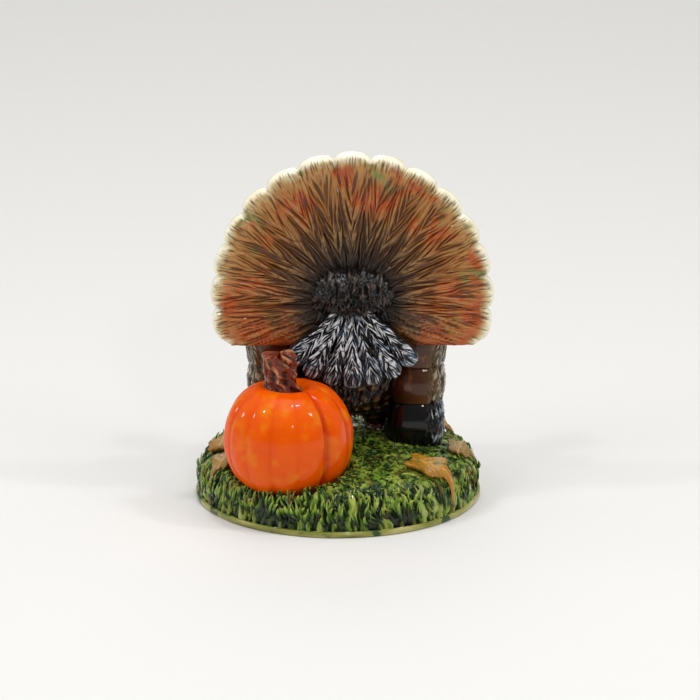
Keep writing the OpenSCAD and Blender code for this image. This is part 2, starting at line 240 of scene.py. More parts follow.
def add(tree, kind, inputs=None, stops=None, **settings):
    """Adds a node. inputs maps a socket's name or number to a constant, or to a socket to link."""
    made = tree.nodes.new(kind)
    for key, value in settings.items():
        setattr(made, key, value)
    if stops:
        elements = made.color_ramp.elements
        while len(elements) < len(stops):
            elements.new(1.0)
        for element, (position, colour) in zip(elements, stops):
            element.position = position
            element.color = linear(colour)
    for key, value in (inputs or {}).items():
        if isinstance(value, bpy.types.NodeSocket):
            tree.links.new(value, made.inputs[key])
        else:
            made.inputs[key].default_value = value
    return made


def painted_resin(
    name,
    stops,
    spread=0.1,
    wash=("#0a0705", 0.08, 0.5, 0.9),
    brush=None,
    patches=(),
    mottle_mm=3.0,
    grit=0.06,
    coat=0.85,
    shine=0.1,
):
    """Hand-painted cast resin under a brushed gloss varnish: soft mottled colour, a dark wash that
    has run into the carving, dry-brushed ridges, and a wet clear coat that gives small glints.
    stops are (how far along the piece, colour). wash is (colour, groove depth where it is full,
    where it ends, strength). brush is (colour, ridge height where it starts, where it is full,
    strength, window along the piece). patches are (colour, size in mm, noise where it starts, where
    it is full, window along the piece, mask). A window is (in, full, full, out) or None."""
    material = bpy.data.materials.new(name)
    material.use_nodes = True
    tree = material.node_tree
    tree.nodes.clear()
    where = add(tree, "ShaderNodeTexCoord").outputs["Object"]

    def mask(attribute):
        return add(tree, "ShaderNodeAttribute", attribute_name=attribute).outputs["Fac"]

    def blotches(size_mm, detail=2.0):
        inputs = {"Vector": where, "Scale": 1 / (size_mm * MM), "Detail": detail}
        return add(tree, "ShaderNodeTexNoise", inputs).outputs["Fac"]

    def between(value, low, high, to_low=0.0, to_high=1.0):
        inputs = {"Value": value, "From Min": low, "From Max": high, "To Min": to_low, "To Max": to_high}
        return add(tree, "ShaderNodeMapRange", inputs, interpolation_type="SMOOTHSTEP").outputs["Result"]

    def calculate(operation, *values):
        return add(tree, "ShaderNodeMath", dict(enumerate(values)), operation=operation).outputs[0]

    def windowed(factor, window):
        if window is None:
            return factor
        factor = calculate("MULTIPLY", factor, between(along, window[0], window[1]))
        return calculate("MULTIPLY", factor, between(along, window[2], window[3], 1.0, 0.0))

    def layer(below, factor, hex_colour):
        inputs = {0: factor, 6: below, 7: linear(hex_colour)}
        return add(tree, "ShaderNodeMix", inputs, data_type="RGBA").outputs[2]

    ridge, along = mask("ridge"), mask("along")
    drift = calculate("MULTIPLY_ADD", blotches(mottle_mm), spread, -spread / 2)
    place_along = calculate("ADD", along, drift)
    colour = add(tree, "ShaderNodeValToRGB", {"Fac": place_along}, stops=stops).outputs["Color"]
    for hex_colour, size_mm, low, high, window, attribute in patches:
        factor = windowed(between(blotches(size_mm), low, high), window)
        if attribute:
            factor = calculate("MULTIPLY", factor, mask(attribute))
        colour = layer(colour, factor, hex_colour)
    colour = layer(colour, between(ridge, wash[1], wash[2], wash[3], 0.0), wash[0])
    if brush:
        hex_colour, low, high, strength, window = brush
        factor = windowed(between(ridge, low, high, 0.0, strength), window)
        factor = calculate("MULTIPLY", factor, between(blotches(0.8, 3.0), 0.3, 0.55))
        colour = layer(colour, factor, hex_colour)
    inputs = {"Height": blotches(0.5, 3.0), "Strength": 0.5, "Distance": grit * MM}
    inputs = {
        "Base Color": colour,
        "Roughness": 0.42,
        "IOR": 1.5,
        "Specular IOR Level": shine,
        "Coat Weight": coat,
        "Coat Roughness": 0.07,
        "Coat IOR": 1.42,
        "Normal": add(tree, "ShaderNodeBump", inputs).outputs["Normal"],
    }
    paint = add(tree, "ShaderNodeBsdfPrincipled", inputs)
    add(tree, "ShaderNodeOutputMaterial", {"Surface": paint.outputs[0]})
    return material


def tail_paint(colours):
    """Tail feathers: black-brown at the roots, gold dry-brushed barbs, rust patches, cream tips."""
    return painted_resin(
        "painted_resin_tail_feathers",
        [
            (0.20, "#0b0806"),
            (0.31, "#2a1c11"),
            (0.42, "#523620"),
            (0.55, "#6e4620"),
            (0.70, colours.tail),
            (0.82, "#a96f33"),
            (0.905, "#bd8d52"),
            (0.945, "#dac391"),
            (0.975, "#f1e7c8"),
            (1.0, "#f7f1df"),
        ],
        spread=0.1,
        wash=("#2f1808", 0.05, 0.55, 0.75),
        brush=("#a9824c", 0.55, 1.0, 0.6, (0.28, 0.5, 0.84, 0.94)),
        patches=(
            ("#b5521c", 4.5, 0.46, 0.64, (0.5, 0.7, 0.9, 0.98), None),
            ("#8d8a4a", 3.6, 0.56, 0.68, (0.7, 0.85, 0.95, 1.0), None),
            ("#b4501f", 5.0, 0.35, 0.6, (0.3, 0.5, 0.88, 0.97), "flank"),
        ),
    )


def covert_paint(colours):
    """Under-tail coverts: black with silver and slate-blue dry-brushed barbs."""
    return painted_resin(
        "painted_resin_silver_coverts",
        [(0.2, "#08070a"), (0.6, "#121216"), (0.86, "#22272e"), (0.95, "#4c5c6c"), (1.0, "#8397a8")],
        wash=("#020203", 0.2, 0.6, 0.95),
        brush=(colours.silver, 0.5, 0.9, 0.95, (0.15, 0.35, 0.97, 1.04)),
        patches=(
            ("#40566d", 2.6, 0.54, 0.66, None, None),
            ("#3a1d18", 1.6, 0.62, 0.7, None, None),
        ),
        mottle_mm=2.0,
    )


def rump_paint():
    """Rump: near-black short feathers with brown strokes."""
    return painted_resin(
        "painted_resin_dark_rump",
        [(0.0, "#070505"), (0.6, "#0e0907"), (1.0, "#120c09")],
        wash=("#020101", 0.2, 0.5, 0.95),
        brush=("#6a5040", 0.72, 1.0, 0.5, None),
        coat=1.0,
        mottle_mm=2.0,
    )


def wing_paint():
    """Wings: red-brown to olive-brown smooth inner faces, pale streaks on the carved outer edges."""
    return painted_resin(
        "painted_resin_wing_feathers",
        [
            # Near-black at the side that faces the body: painted shade between wing and body.
            (0.0, "#120805"),
            (0.3, "#3a170a"),
            (0.5, "#4c2410"),
            (0.68, "#5d4422"),
            (0.82, "#54411f"),
            (1.0, "#3a3029"),
        ],
        spread=0.16,
        wash=("#080504", 0.1, 0.5, 0.9),
        brush=("#c9bfa8", 0.62, 0.95, 0.85, (0.64, 0.78, 2.0, 3.0)),
        patches=(("#7a4a22", 2.2, 0.58, 0.7, (0.3, 0.5, 0.8, 0.9), None),),
        mottle_mm=2.5,
    )


def stripe_paint():
    """Flight feathers: black with off-white and pale blue carved bars on the outer edges; the black of the inner
    side that faces the body is painted shade.
    """
    return painted_resin(
        "painted_resin_wing_stripes",
        [(0.0, "#040303"), (0.7, "#060608"), (1.0, "#101216")],
        wash=("#020202", 0.12, 0.5, 0.95),
        brush=("#b9c2ce", 0.58, 0.9, 0.95, (0.6, 0.73, 2.0, 3.0)),
        patches=(("#1d0d06", 3.0, 0.6, 0.7, None, None),),
        mottle_mm=2.5,
    )


def body_paint():
    """Body: dark bronze feathers, each with a gold-brushed edge."""
    return painted_resin(
        "painted_resin_body_feathers",
        [(0.0, "#120a06"), (0.5, "#22130a"), (0.8, "#34200f"), (1.0, "#422a14")],
        spread=0.3,
        wash=("#060302", 0.1, 0.55, 0.94),
        brush=("#a2784a", 0.6, 0.95, 0.75, None),
        patches=(("#431a0d", 4.0, 0.55, 0.7, None, None),),
    )


def head_paint():
    """Bare head: slate-blue and chalk crown, red caruncles below."""
    return painted_resin(
        "painted_resin_bare_head",
        [(0.0, "#6e120d"), (0.45, "#8d1c15"), (0.62, "#93564f"), (0.75, "#7f93a5"), (1.0, "#a9b6bd")],
        spread=0.25,
        wash=("#2a0606", 0.15, 0.5, 0.7),
        brush=("#d8a79c", 0.75, 1.0, 0.5, None),
        mottle_mm=1.4,
        grit=0.1,
    )


def flesh_paint():
    """Snood and wattle: bright red."""
    return painted_resin(
        "painted_resin_red_wattle",
        [(0.0, "#7c0d0a"), (0.5, "#a5170f"), (1.0, "#b9261a")],
        wash=("#3a0505", 0.1, 0.5, 0.8),
        brush=("#d8644e", 0.7, 1.0, 0.6, None),
        mottle_mm=1.0,
    )


def horn_paint():
    """Beak: ochre, darker at the tip."""
    return painted_resin(
        "painted_resin_beak_horn",
        [(0.0, "#b98d43"), (0.6, "#a97d38"), (1.0, "#4a331a")],
        mottle_mm=0.8,
    )


def eye_paint():
    """Eyes: gloss black with an amber ring."""
    return painted_resin(
        "enamel_eye_black",
        [(0.0, "#3b2a16"), (0.45, "#8a5a1c"), (0.6, "#0a0807"), (1.0, "#050404")],
        spread=0.02,
        grit=0.0,
        coat=1.0,
    )


def leg_paint():
    """Shanks and toes: dull red-brown with pale scutes."""
    return painted_resin(
        "painted_resin_leg_skin",
        [(0.0, "#4a1f16"), (0.5, "#7a3a29"), (1.0, "#8f5340")],
        brush=("#c79a80", 0.7, 1.0, 0.5, None),
        mottle_mm=0.9,
    )


def tuft_paint():
    """Breast tuft: black bristles with brown glints."""
    return painted_resin(
        "painted_resin_breast_tuft",
        [(0.0, "#0a0807"), (1.0, "#15100c")],
        brush=("#5a4632", 0.7, 1.0, 0.6, None),
        mottle_mm=1.0,
    )


def pumpkin_paint(colours):
    """Pumpkin: translucent orange glaze over yellow, redder in the grooves, under thick varnish."""
    return painted_resin(
        "painted_resin_pumpkin_skin",
        [(0.0, "#d03a00"), (0.35, "#e24a00"), (0.7, colours.pumpkin), (1.0, "#ec6a04")],
        spread=0.5,
        wash=("#b42e06", 0.0, 0.7, 0.6),
        patches=(("#e9780a", 3.2, 0.5, 0.7, None, "streak"),),
        mottle_mm=4.0,
        grit=0.015,
        coat=0.55,
        shine=0.0,
    )


def stem_paint(colours):
    """Pumpkin stem: red-brown with pale dry-brushed edges."""
    return painted_resin(
        "painted_resin_pumpkin_stem",
        [(0.0, "#5a1c0a"), (0.5, colours.stem), (1.0, "#7c3014")],
        wash=("#240b06", 0.15, 0.55, 0.9),
        brush=("#c98d62", 0.66, 0.95, 0.8, None),
        patches=(("#3f331a", 1.4, 0.56, 0.66, None, None),),
        mottle_mm=1.5,
    )


def leaf_paint(colours, warm):
    """Fallen leaves: ochre with tan veins; a warm leaf is more orange."""
    tones = ("#8a5a14", colours.leaf, "#c08c26") if warm else ("#7c5a24", "#a07c3e", "#b08e54")
    return painted_resin(
        "painted_resin_warm_leaf" if warm else "painted_resin_tan_leaf",
        [(0.0, tones[0]), (0.5, tones[1]), (1.0, tones[2])],
        spread=0.4,
        wash=("#5a3a0e", 0.1, 0.5, 0.8),
        brush=("#cba568", 0.62, 0.95, 0.8, None),
        patches=(("#6f6a24", 2.2, 0.56, 0.68, None, None),),
        mottle_mm=1.8,
    )


def ground_paint(colours):
    """Carved turf: green with dark roots and yellow-green dry-brushed ridges."""
    return painted_resin(
        "painted_resin_ground",
        [(0.0, "#1f330b"), (0.35, "#3c5a12"), (0.6, colours.grass), (1.0, "#a2ac48")],
        spread=0.5,
        wash=("#101b07", 0.1, 0.55, 0.9),
        brush=("#a9b060", 0.68, 1.0, 0.6, None),
        patches=(
            ("#6b5c20", 3.5, 0.58, 0.7, None, None),
            ("#1c4220", 4.0, 0.56, 0.68, None, None),
        ),
        mottle_mm=2.2,
        coat=1.0,
    )


def grass_paint(colours):
    """Grass blades: dark green roots, olive-green sides, yellow-green dry-brushed tips."""
    return painted_resin(
        "painted_resin_grass_blades",
        [
            (0.0, "#0f1b08"),
            (0.3, "#2b4410"),
            (0.55, colours.grass),
            (0.8, "#8fa43c"),
            (1.0, "#b4bb5c"),
        ],
        spread=0.8,
        wash=("#0a1407", 0.0, 0.3, 0.5),
        brush=("#aaa850", 0.5, 1.0, 0.5, (0.4, 0.8, 2.0, 3.0)),
        patches=(
            ("#6b5c20", 3.5, 0.58, 0.7, None, None),
            ("#143a1e", 4.0, 0.56, 0.68, None, None),
        ),
        mottle_mm=1.6,
    )


def rim_paint():
    """Footing: yellow-green with a worn olive edge."""
    return painted_resin(
        "painted_resin_footing_rim",
        [(0.0, "#6a6f22"), (0.5, "#949447"), (1.0, "#c3b878")],
        spread=0.8,
        wash=("#1c3014", 0.0, 0.5, 0.6),
        patches=(("#2c4a1c", 5.0, 0.55, 0.62, None, None),),
        mottle_mm=4.0,
    )


# ---------------------------------------------------------------- pieces


def fan_feather(name, hub, angle, foot_r, tip_r, half_angle, mid_y, look):
    """One feather of a fan that stands up in X and Z about hub: a pillowed blade with a round tip
    and carved barbs on both faces. look holds its sizes, in mm. A hang widens the side that faces
    down, so that its lower edge runs level."""
    tip = look["tip"]
    body = np.linspace(foot_r, tip_r - tip, look["steps"])
    cap = tip_r - tip + tip * np.sin(np.linspace(0.04, 0.5 * math.pi - 0.02, look["tip_steps"]))
    r = np.concatenate([body, cap])[:, None]
    end = unit((r - (tip_r - tip)) / tip)
    round_end = (1 - end**2.3) ** 0.46
    widest = (tip_r - tip) * math.tan(half_angle) * look["widen"]
    half_w = np.where(r < tip_r - tip, r * math.tan(half_angle) * look["widen"], widest * round_end)
    u = np.linspace(-1, 1, look["points"])[None, :]
    hang = look["hang"]
    inner = 1 - smooth(r, tip_r - 1.6 * tip, tip_r - 0.4 * tip)
    level = np.clip(abs(hang) - r * abs(math.cos(angle)), 0, None) / abs(math.sin(angle) or 1)
    low_w = mix(half_w, np.maximum(half_w, level * smooth(r, 5, 9)), inner) if hang else half_w
    s = np.where(u * hang > 0, u * low_w, u * half_w)
    wobble = 0.12 * look["edge_wave"] * noise(r / 1.6, 0, look["seed"] + 40)
    share = r / tip_r
    rim = (tip_r - tip + tip * unit(1 - unit(np.abs(s) / widest) ** 2.17) ** 0.43) / tip_r
    along = share / np.minimum(rim, 1)
    fade = smooth(share, *look["root"]) * (1 - smooth(along, *look["fade"]))
    bulb = smooth(share, 1 - 2.2 * tip / tip_r, 1 - 0.8 * tip / tip_r)
    edge = mix(look["edge"], 0.3, bulb)
    half_t = look["thickness"] / 2 * (edge + (1 - edge) * np.sqrt(1 - np.abs(u) ** 3))
    lip = bell(along - 0.968, 0.018) - 0.7 * bell(along - 0.925, 0.022)  # a rim with a dip inside it
    closing = np.sqrt(np.clip(1 - end**2.6, 0.002, 1))
    half_t = half_t * (1 + look["swell"] * bulb) * closing + look["lip"] * lip

    def relief(seed):
        carved = barbs(s, r, look["barb_w"], look["barb_l"], look["slant"], seed)
        fine = strokes(s, r, 0.17, 1.6, seed + 13)
        carved = mix(carved, 0.15 + 0.7 * fine, smooth(along, 0.82, 0.94))
        crease = smooth(np.abs(u), 0.8, 1) * (1 - smooth(share, *look["crease"]))
        rib = bell(s - 0.3 * wobble, look["rib"]) * (1 - smooth(share, 0.5, 0.85))
        carved = unit(carved * (1 - 0.75 * crease) + look["rib_h"] * rib)
        return mix(0.55, carved, fade)

    back, front = relief(look["seed"]), relief(look["seed"] + 11)
    lift = look["lift"](share) + 0 * u
    rough = look["relief"] * np.minimum(1, half_w / 1.2)
    y_back = mid_y - half_t - rough * (back - 0.5) - lift
    y_front = (mid_y + half_t + rough * (front - 0.5) - lift)[:, ::-1]
    s = s + wobble * smooth(np.abs(u), 0.5, 1) * (1 - bulb)
    across = np.concatenate([s, s[:, ::-1]], axis=1)
    depth = np.concatenate([y_back, y_front], axis=1)
    radial = np.broadcast_to(r, across.shape)
    x = hub[0] + radial * math.sin(angle) + across * math.cos(angle)
    z = hub[2] + radial * math.cos(angle) - across * math.sin(angle)
    ridge = np.concatenate([back, front[:, ::-1]], axis=1)
    low_side = unit(np.concatenate([u * hang, (u * hang)[:, ::-1]], axis=1) / (abs(hang) or 1))
    masks = {
        "ridge": ridge,
        "along": np.concatenate([along, along[:, ::-1]], axis=1),
        "flank": look["flank"] * smooth(share, 0.3, 0.6) * (0.6 + 0.4 * smooth(low_side, 0.1, 0.7)),
    }
    return skin(name, joined(x, depth, z), **masks)


def reach(node, hub):
    """How far a CAD feather reaches from the fan's centre."""
    points = np.array([v.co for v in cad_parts[node].data.vertices]) / MM
    return np.hypot(points[:, 0] - hub[0], points[:, 2] - hub[2]).max()


def heading(node, hub):
    """Angle of a CAD feather's middle, clockwise from straight up as seen from behind."""
    points = np.array([v.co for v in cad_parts[node].data.vertices]) / MM
    flat = points[:, [0, 2]] - np.array(hub)[[0, 2]]
    far = flat[np.hypot(*flat.T) > 0.8 * np.hypot(*flat.T).max()]
    return math.atan2(far[:, 0].mean(), far[:, 1].mean())


class TURKEY_OT_tail_fan(Operator):
    """Makes the fifteen carved tail feathers"""

    bl_idname = "turkey.tail_fan"
    bl_label = "Tail fan"

    def execute(self, context):
        sizes = context.scene.turkey_sizes
        hub = middle("tail_hub")
        paint = tail_paint(context.scene.turkey_colours)
        headings = [heading(name, hub) for name in FEATHERS]
        half_angle = (headings[-1] - headings[0]) / (len(FEATHERS) - 1) / 2
        mid_y = middle(FEATHERS[7])[1]
        for i, name in enumerate(FEATHERS):
            side = abs(i - 7) / 7
            forward = 0.12 * (i % 2)
            outermost = (0 if 0 < i < 14 else math.copysign(1, i - 7)) * sizes.fan_hang
            look = {
                "tip": 1.7, "steps": 170, "tip_steps": 18, "points": 51, "widen": 1.02, "edge": 0.86,
                "thickness": 2.3, "swell": 0.25, "lip": 0.24,
                "barb_w": sizes.barb_width, "barb_l": 2.6, "relief": sizes.barb_height,
                "slant": math.radians(mix(14, 8, side**2)), "rib": 0.16, "rib_h": 0.3,
                "seed": 20 * i, "root": (0.14, 0.26), "fade": (0.965, 1.0),
                "crease": (0.55, 0.9), "edge_wave": 1.0, "hang": outermost,
                "lift": lambda share, forward=forward: 0.4 * share**2 + forward,
                "flank": float(smooth(side, 0.65, 0.95)),
            }
            far = reach(name, hub)
            made = fan_feather(f"carved_{name}", hub, headings[i], 3.0, far, half_angle, mid_y, look)
            place(made, "tail_fan", paint, name)
        return {"FINISHED"}


class TURKEY_OT_coverts(Operator):
    """Makes the seven silver under-tail coverts"""

    bl_idname = "turkey.coverts"
    bl_label = "Silver coverts"

    def execute(self, context):
        centre = middle("rump_dome")
        paint = covert_paint(context.scene.turkey_colours)
        headings = [heading(name, centre) % (2 * math.pi) for name in COVERTS]
        half_angle = abs(headings[-1] - headings[0]) / (len(COVERTS) - 1) / 2
        mid_y = middle(COVERTS[3])[1]
        for i, name in enumerate(COVERTS):
            stand = 0.45 * (i % 2)
            look = {
                "tip": 2.6, "steps": 120, "tip_steps": 22, "points": 53, "widen": 1.16, "edge": 0.4,
                "thickness": 2.4, "swell": 0.0, "lip": 0.0, "barb_w": 0.13, "barb_l": 1.3,
                "slant": math.radians(22), "relief": 0.6, "rib": 0.12, "rib_h": 0.25,
                "seed": 300 + 20 * i, "root": (0.1, 0.25), "fade": (1.1, 1.3), "crease": (0.9, 1.0),
                "edge_wave": 2.5, "hang": 0.0,
                "lift": lambda share, stand=stand: (1.6 + stand) * np.sin(1.9 * share) ** 1.3,
                "flank": 0.0,
            }
            far = reach(name, centre)
            made = fan_feather(f"carved_{name}", centre, headings[i], 2.5, far, half_angle, mid_y, look)
            place(made, "silver_coverts", paint, name)
        return {"FINISHED"}


class TURKEY_OT_rump(Operator):
    """Makes the dark rump dome and the hub under the fan"""

    bl_idname = "turkey.rump"
    bl_label = "Rump"

    def execute(self, context):
        paint = rump_paint()
        centre, half = span_mm("rump_dome")
        t = evenly(90, 0, 0.5 * math.pi - 0.02)
        a = once_round(200)
        u, v = np.cos(t) * np.cos(a), np.cos(t) * np.sin(a)
        cut = strokes(u * half[0], v * half[2] + 0.8 * u * u, 0.22, 0.8, 5)
        tufts = 0.5 + 0.5 * noise(u * half[0] / 0.9, v * half[2] / 0.7, 9)
        ridge = unit(0.75 * cut + 0.25 * tufts)
        fringe = smooth(1 - np.sin(t), 0.45, 1) * (0.35 + 0.65 * noise(a * 14, 0 * a, 12))
        grow = 0.93 + 0.12 * (ridge - 0.3) + 0.09 * fringe
        x = centre[0] + 1.2 * u * half[0] * grow
        y = centre[1] + half[1] + 0.4 - 2.2 * half[1] * np.sin(t) * (0.93 + 0.2 * (ridge - 0.4))
        z = centre[2] + 1.08 * v * half[2] * grow
        made = skin("carved_rump_dome", joined(x, y, z), ridge=ridge, along=0.5 + 0.5 * v)
        place(made, "dark_rump", paint, "rump_dome")

        low, high = box_mm("tail_hub")
        centre, half = span_mm("tail_hub")
        t = evenly(40)
        across, down = scales(a / (2 * math.pi) * 14, (1 - t) * 2.6 + 0 * a)[:2]
        ridge = unit(0.25 + 0.9 * down * (1 - 0.6 * across**2))
        r = half[0] * (0.97 + 0.06 * np.sin(math.pi * t)) + 0.3 * (ridge - 0.5)
        x, z = centre[0] + r * np.cos(a), centre[2] + r * np.sin(a)
        made = skin("carved_tail_hub", joined(x, mix(low[1], high[1], t), z), ridge=ridge, along=t)
        place(made, "dark_rump", paint, "tail_hub")
        return {"FINISHED"}


def feathered(name, rings_at, around_mm, steps, points, feather_mm, barb_mm, relief):
    """A closed skin of overlapping feathers. rings_at(t, a, out) gives its points for t from 0 at
    the tips' end to 1 at the roots' end, a round it and out, how far it is raised in mm."""
    t = evenly(steps)
    a = once_round(points)
    columns = max(4, round(around_mm / feather_mm))
    base = rings_at(t, a, 0 * t * a)
    length = np.linalg.norm(np.diff(base, axis=0), axis=-1).max(axis=1).sum()
    rows = length / (0.85 * feather_mm)
    across, down, which = scales(a / (2 * math.pi) * columns, (1 - t) * rows + 0 * a)
    barbed = barbs(across * feather_mm / 2, down * feather_mm + 7 * which, barb_mm, 0.9, 0.6, 3)
    rib = bell(across, 0.1)
    raised = down**1.5 * (1 - 0.35 * across**2)
    ridge = unit(0.1 + 0.5 * raised + 0.45 * (barbed - 0.4) + 0.25 * rib)
    ridge = np.where(down < 0.72, ridge, unit(ridge + 0.12))
    rings = rings_at(t, a, relief * (raised + 0.3 * (barbed - 0.5) - 0.4))
    along = unit(0.5 + 0.5 * noise(which * 1.37, which * 0.71, 4))
    return skin(name, rings, ridge=ridge, along=along)


class TURKEY_OT_body(Operator):
    """Makes the body with its overlapping feathers, and the breast tuft"""

    bl_idname = "turkey.body"
    bl_label = "Body"

    def execute(self, context):
        low, high = box_mm("body")
        half = (high - low) / 2
        half_len = half[0] * 22 / 21
        centre = np.array([(low[0] + high[0]) / 2, high[1] - half_len, (low[2] + high[2]) / 2])

        def rings_at(t, a, out):
            tilt = mix(-0.5 * math.pi + 0.03, 0.5 * math.pi - 0.03, t)
            ring = np.cos(tilt)
            x = (half[0] + out) * ring * np.cos(a)
            y = (half_len + out) * ring * np.sin(a)
            z = (half[2] + out + 1.2 * (tilt < 0)) * np.sin(tilt) + 0 * a
            y = np.maximum(y, low[1] - centre[1] - out)
            return joined(centre[0] + x, centre[1] + y, centre[2] + z)

        made = feathered(
            "carved_body", rings_at, 2 * math.pi * half[0], 240, 380, 2.7, 0.42,
            context.scene.turkey_sizes.scale_height,
        )
        place(made, "body_feathers", body_paint(), "body")

        low, high = box_mm("breast_tuft")
        t = evenly(50)
        a = once_round(60)
        strand = 0.5 + 0.5 * np.cos(9 * a + 2 * noise(a, t * 3, 2))
        r = mix(0.25, (high[0] - low[0]) / 2, t**0.8) * (0.8 + 0.25 * strand)
        x = (low[0] + high[0]) / 2 + r * np.cos(a)
        y = (low[1] + high[1]) / 2 + r * np.sin(a) - 0.5 * t**3
        z = mix(low[2] + 0.5 * (strand - 0.5) * (1 - t), high[2], t)
        made = skin("bristled_breast_tuft", joined(x, y, z), ridge=strand, along=t)
        place(made, "tuft_black", tuft_paint(), "breast_tuft")
        return {"FINISHED"}


def wing_tier(name, node, side, sizes, inward, top_round, lobe_mm, streak):
    """One tier of a wing: a tall shell with carved outer feathers and a smooth rear face. sizes are
    its share of the wing's plan at the bottom and the top, and inward widens its inner side."""
    centre, half = span_mm(f"wing_coverts_{'left' if side < 0 else 'right'}")
    low, high = box_mm(node)
    t = evenly(110)
    a = once_round(220)
    outer = np.cos(a)
    size = mix(sizes[0], sizes[1], t)
    if top_round:
        size = size * (0.25 + 0.75 * np.sqrt(unit(1 - t**4)))
    arc = a * (half[0] + half[1]) / 2
    lobes = np.abs(np.cos(math.pi * arc / lobe_mm))
    carve = smooth(outer, 0.1, 0.42)
    z = mix(low[2], high[2], t) + 0.7 * (1 - lobes) * (1 - t) ** 6 * carve - 0.35 * (1 - t) ** 8
    vertical = 0.5 + 0.5 * noise(arc / 0.3, z / 2.4, 31)
    slanting = barbs(arc - lobe_mm * np.round(arc / lobe_mm), -z, 0.24, 1.2, 0.4, 12)
    carved = unit(0.55 * vertical + 0.6 * slanting)
    ridge = mix(0.6 + 0.1 * noise(arc / 2, z / 2, 8), carved, carve)
    # Painted shade: the lowest band of each tier, its underside, gets a lower ridge so that the dark wash fills
    # it and the dry-brush leaves it.
    under = 1 - smooth(t, 0.0, 0.05)
    ridge = ridge * (1 - 0.25 * under)
    swell = 0.5 * np.sin(math.pi * unit(t * 1.15)) - 0.35 * smooth(t, 0.85, 1)
    out = streak * carve * (carved - 0.5) + 0.35 * carve * (lobes - 0.5) + swell

    def squared(v):
        return np.sign(v) * np.abs(v) ** 0.7

    # inward stretches the near-black inner side towards the body; on the secondaries and primaries it fills the
    # gap under the belly, between thigh and wing, with a dark mass that stands in for the shade there.
    x = (half[0] * size + out) * squared(outer) * np.where(outer < 0, inward, 1)
    x = centre[0] + side * x - 1  # both wings stand 1 mm to the left of the CAD ones
    y = centre[1] + (half[1] * size + out) * squared(np.sin(a))
    return skin(name, joined(x, y, z), ridge=ridge, along=unit(0.5 + 0.5 * outer))


class TURKEY_OT_wings(Operator):
    """Makes both wings in three tiers"""

    bl_idname = "turkey.wings"
    bl_label = "Wings"

    def execute(self, context):
        brown, stripes = wing_paint(), stripe_paint()
        for word, side in SIDES.items():
            # The number after each tier's sizes, inward, widens its near-black inner side; at 1.3 and 1.45 this
            # fills the shade under the belly, between thigh and wing, with a dark mass in place of that shade.
            tiers = (
                ("wing_coverts", (1.02, 1.0), 1.1, True, 3.2, 0.35, brown, "wing_feathers"),
                ("wing_secondaries", (0.96, 0.93), 1.3, False, 2.6, 0.35, brown, "wing_feathers"),
                ("wing_primaries", (0.9, 0.88), 1.45, False, 1.8, 0.5, stripes, "wing_stripes"),
            )
            for tier, *shape, paint, slot in tiers:
                node = f"{tier}_{word}"
                place(wing_tier(f"carved_{node}", node, side, *shape), slot, paint, node)
        return {"FINISHED"}


class TURKEY_OT_legs(Operator):
    """Makes the thighs, shanks and feet"""

    bl_idname = "turkey.legs"
    bl_label = "Legs"

    def execute(self, context):
        thigh_paint, skin_paint = body_paint(), leg_paint()
        ground = Ground()
        for word in SIDES:
            low, high = box_mm(f"thigh_{word}")
            centre, half = span_mm(f"thigh_{word}")

            def thigh_at(t, a, out):
                r = mix(1.4, half[0] + 1.1, smooth(t, -0.2, 0.7)) + out
                z = mix(low[2] - 0.9, high[2] + 0.8, t)
                return joined(centre[0] + r * np.cos(a), centre[1] + r * np.sin(a), z)

            made = feathered(f"carved_thigh_{word}", thigh_at, 12, 70, 110, 1.8, 0.4, 0.35)
            place(made, "body_feathers", thigh_paint, f"thigh_{word}")

            low, high = box_mm(f"shank_{word}")
            t = evenly(60)
            a = once_round(40)
            ring = 0.5 + 0.5 * np.cos(2 * math.pi * t * 7)
            r = (high[0] - low[0]) / 2 * (0.82 + 0.14 * ring + 0.25 * bell(t, 0.16))
            root = middle(f"shank_{word}")
            x, y = root[0] + r * np.cos(a), root[1] + r * np.sin(a)
            z = mix(low[2] - 0.3, high[2] + 0.4, t)
            made = skin(f"scaled_shank_{word}", joined(x, y, z), ridge=ring, along=t)
            place(made, "leg_skin", skin_paint, f"shank_{word}")

            foot = self.foot(f"scaled_foot_{word}", root, ground)
            place(foot, "leg_skin", skin_paint, f"foot_{word}")
        return {"FINISHED"}

    def foot(self, name, root, ground):
        """A star-shaped foot: a knuckled plate that follows the ground."""
        toes = ((50, 3.4), (90, 3.8), (130, 3.4), (270, 2.1))  # heading in degrees, length in mm
        a = once_round(144)
        shares = np.concatenate([np.linspace(0.03, 1, 14), np.linspace(1, 0.03, 14)])[:, None]
        top = np.concatenate([np.zeros(14), np.ones(14)])[:, None]
        span = 1.0 + 0 * a
        for degrees, length in toes:
            span = np.maximum(span, length * unit(np.cos(a - math.radians(degrees))) ** 30)
        r = span * shares
        x, y = root[0] + r * np.cos(a), root[1] + r * np.sin(a)
        knuckle = 0.5 + 0.5 * np.cos(2 * math.pi * r / 0.8)
        arch = np.sqrt(unit(1 - shares**4)) * (0.55 + 0.12 * knuckle)
        z = ground.at(x, y) + 0.35 + np.where(top > 0, arch, -0.5 * arch)
        return skin(name, joined(x, y, z), ridge=knuckle, along=1 - r / 4)


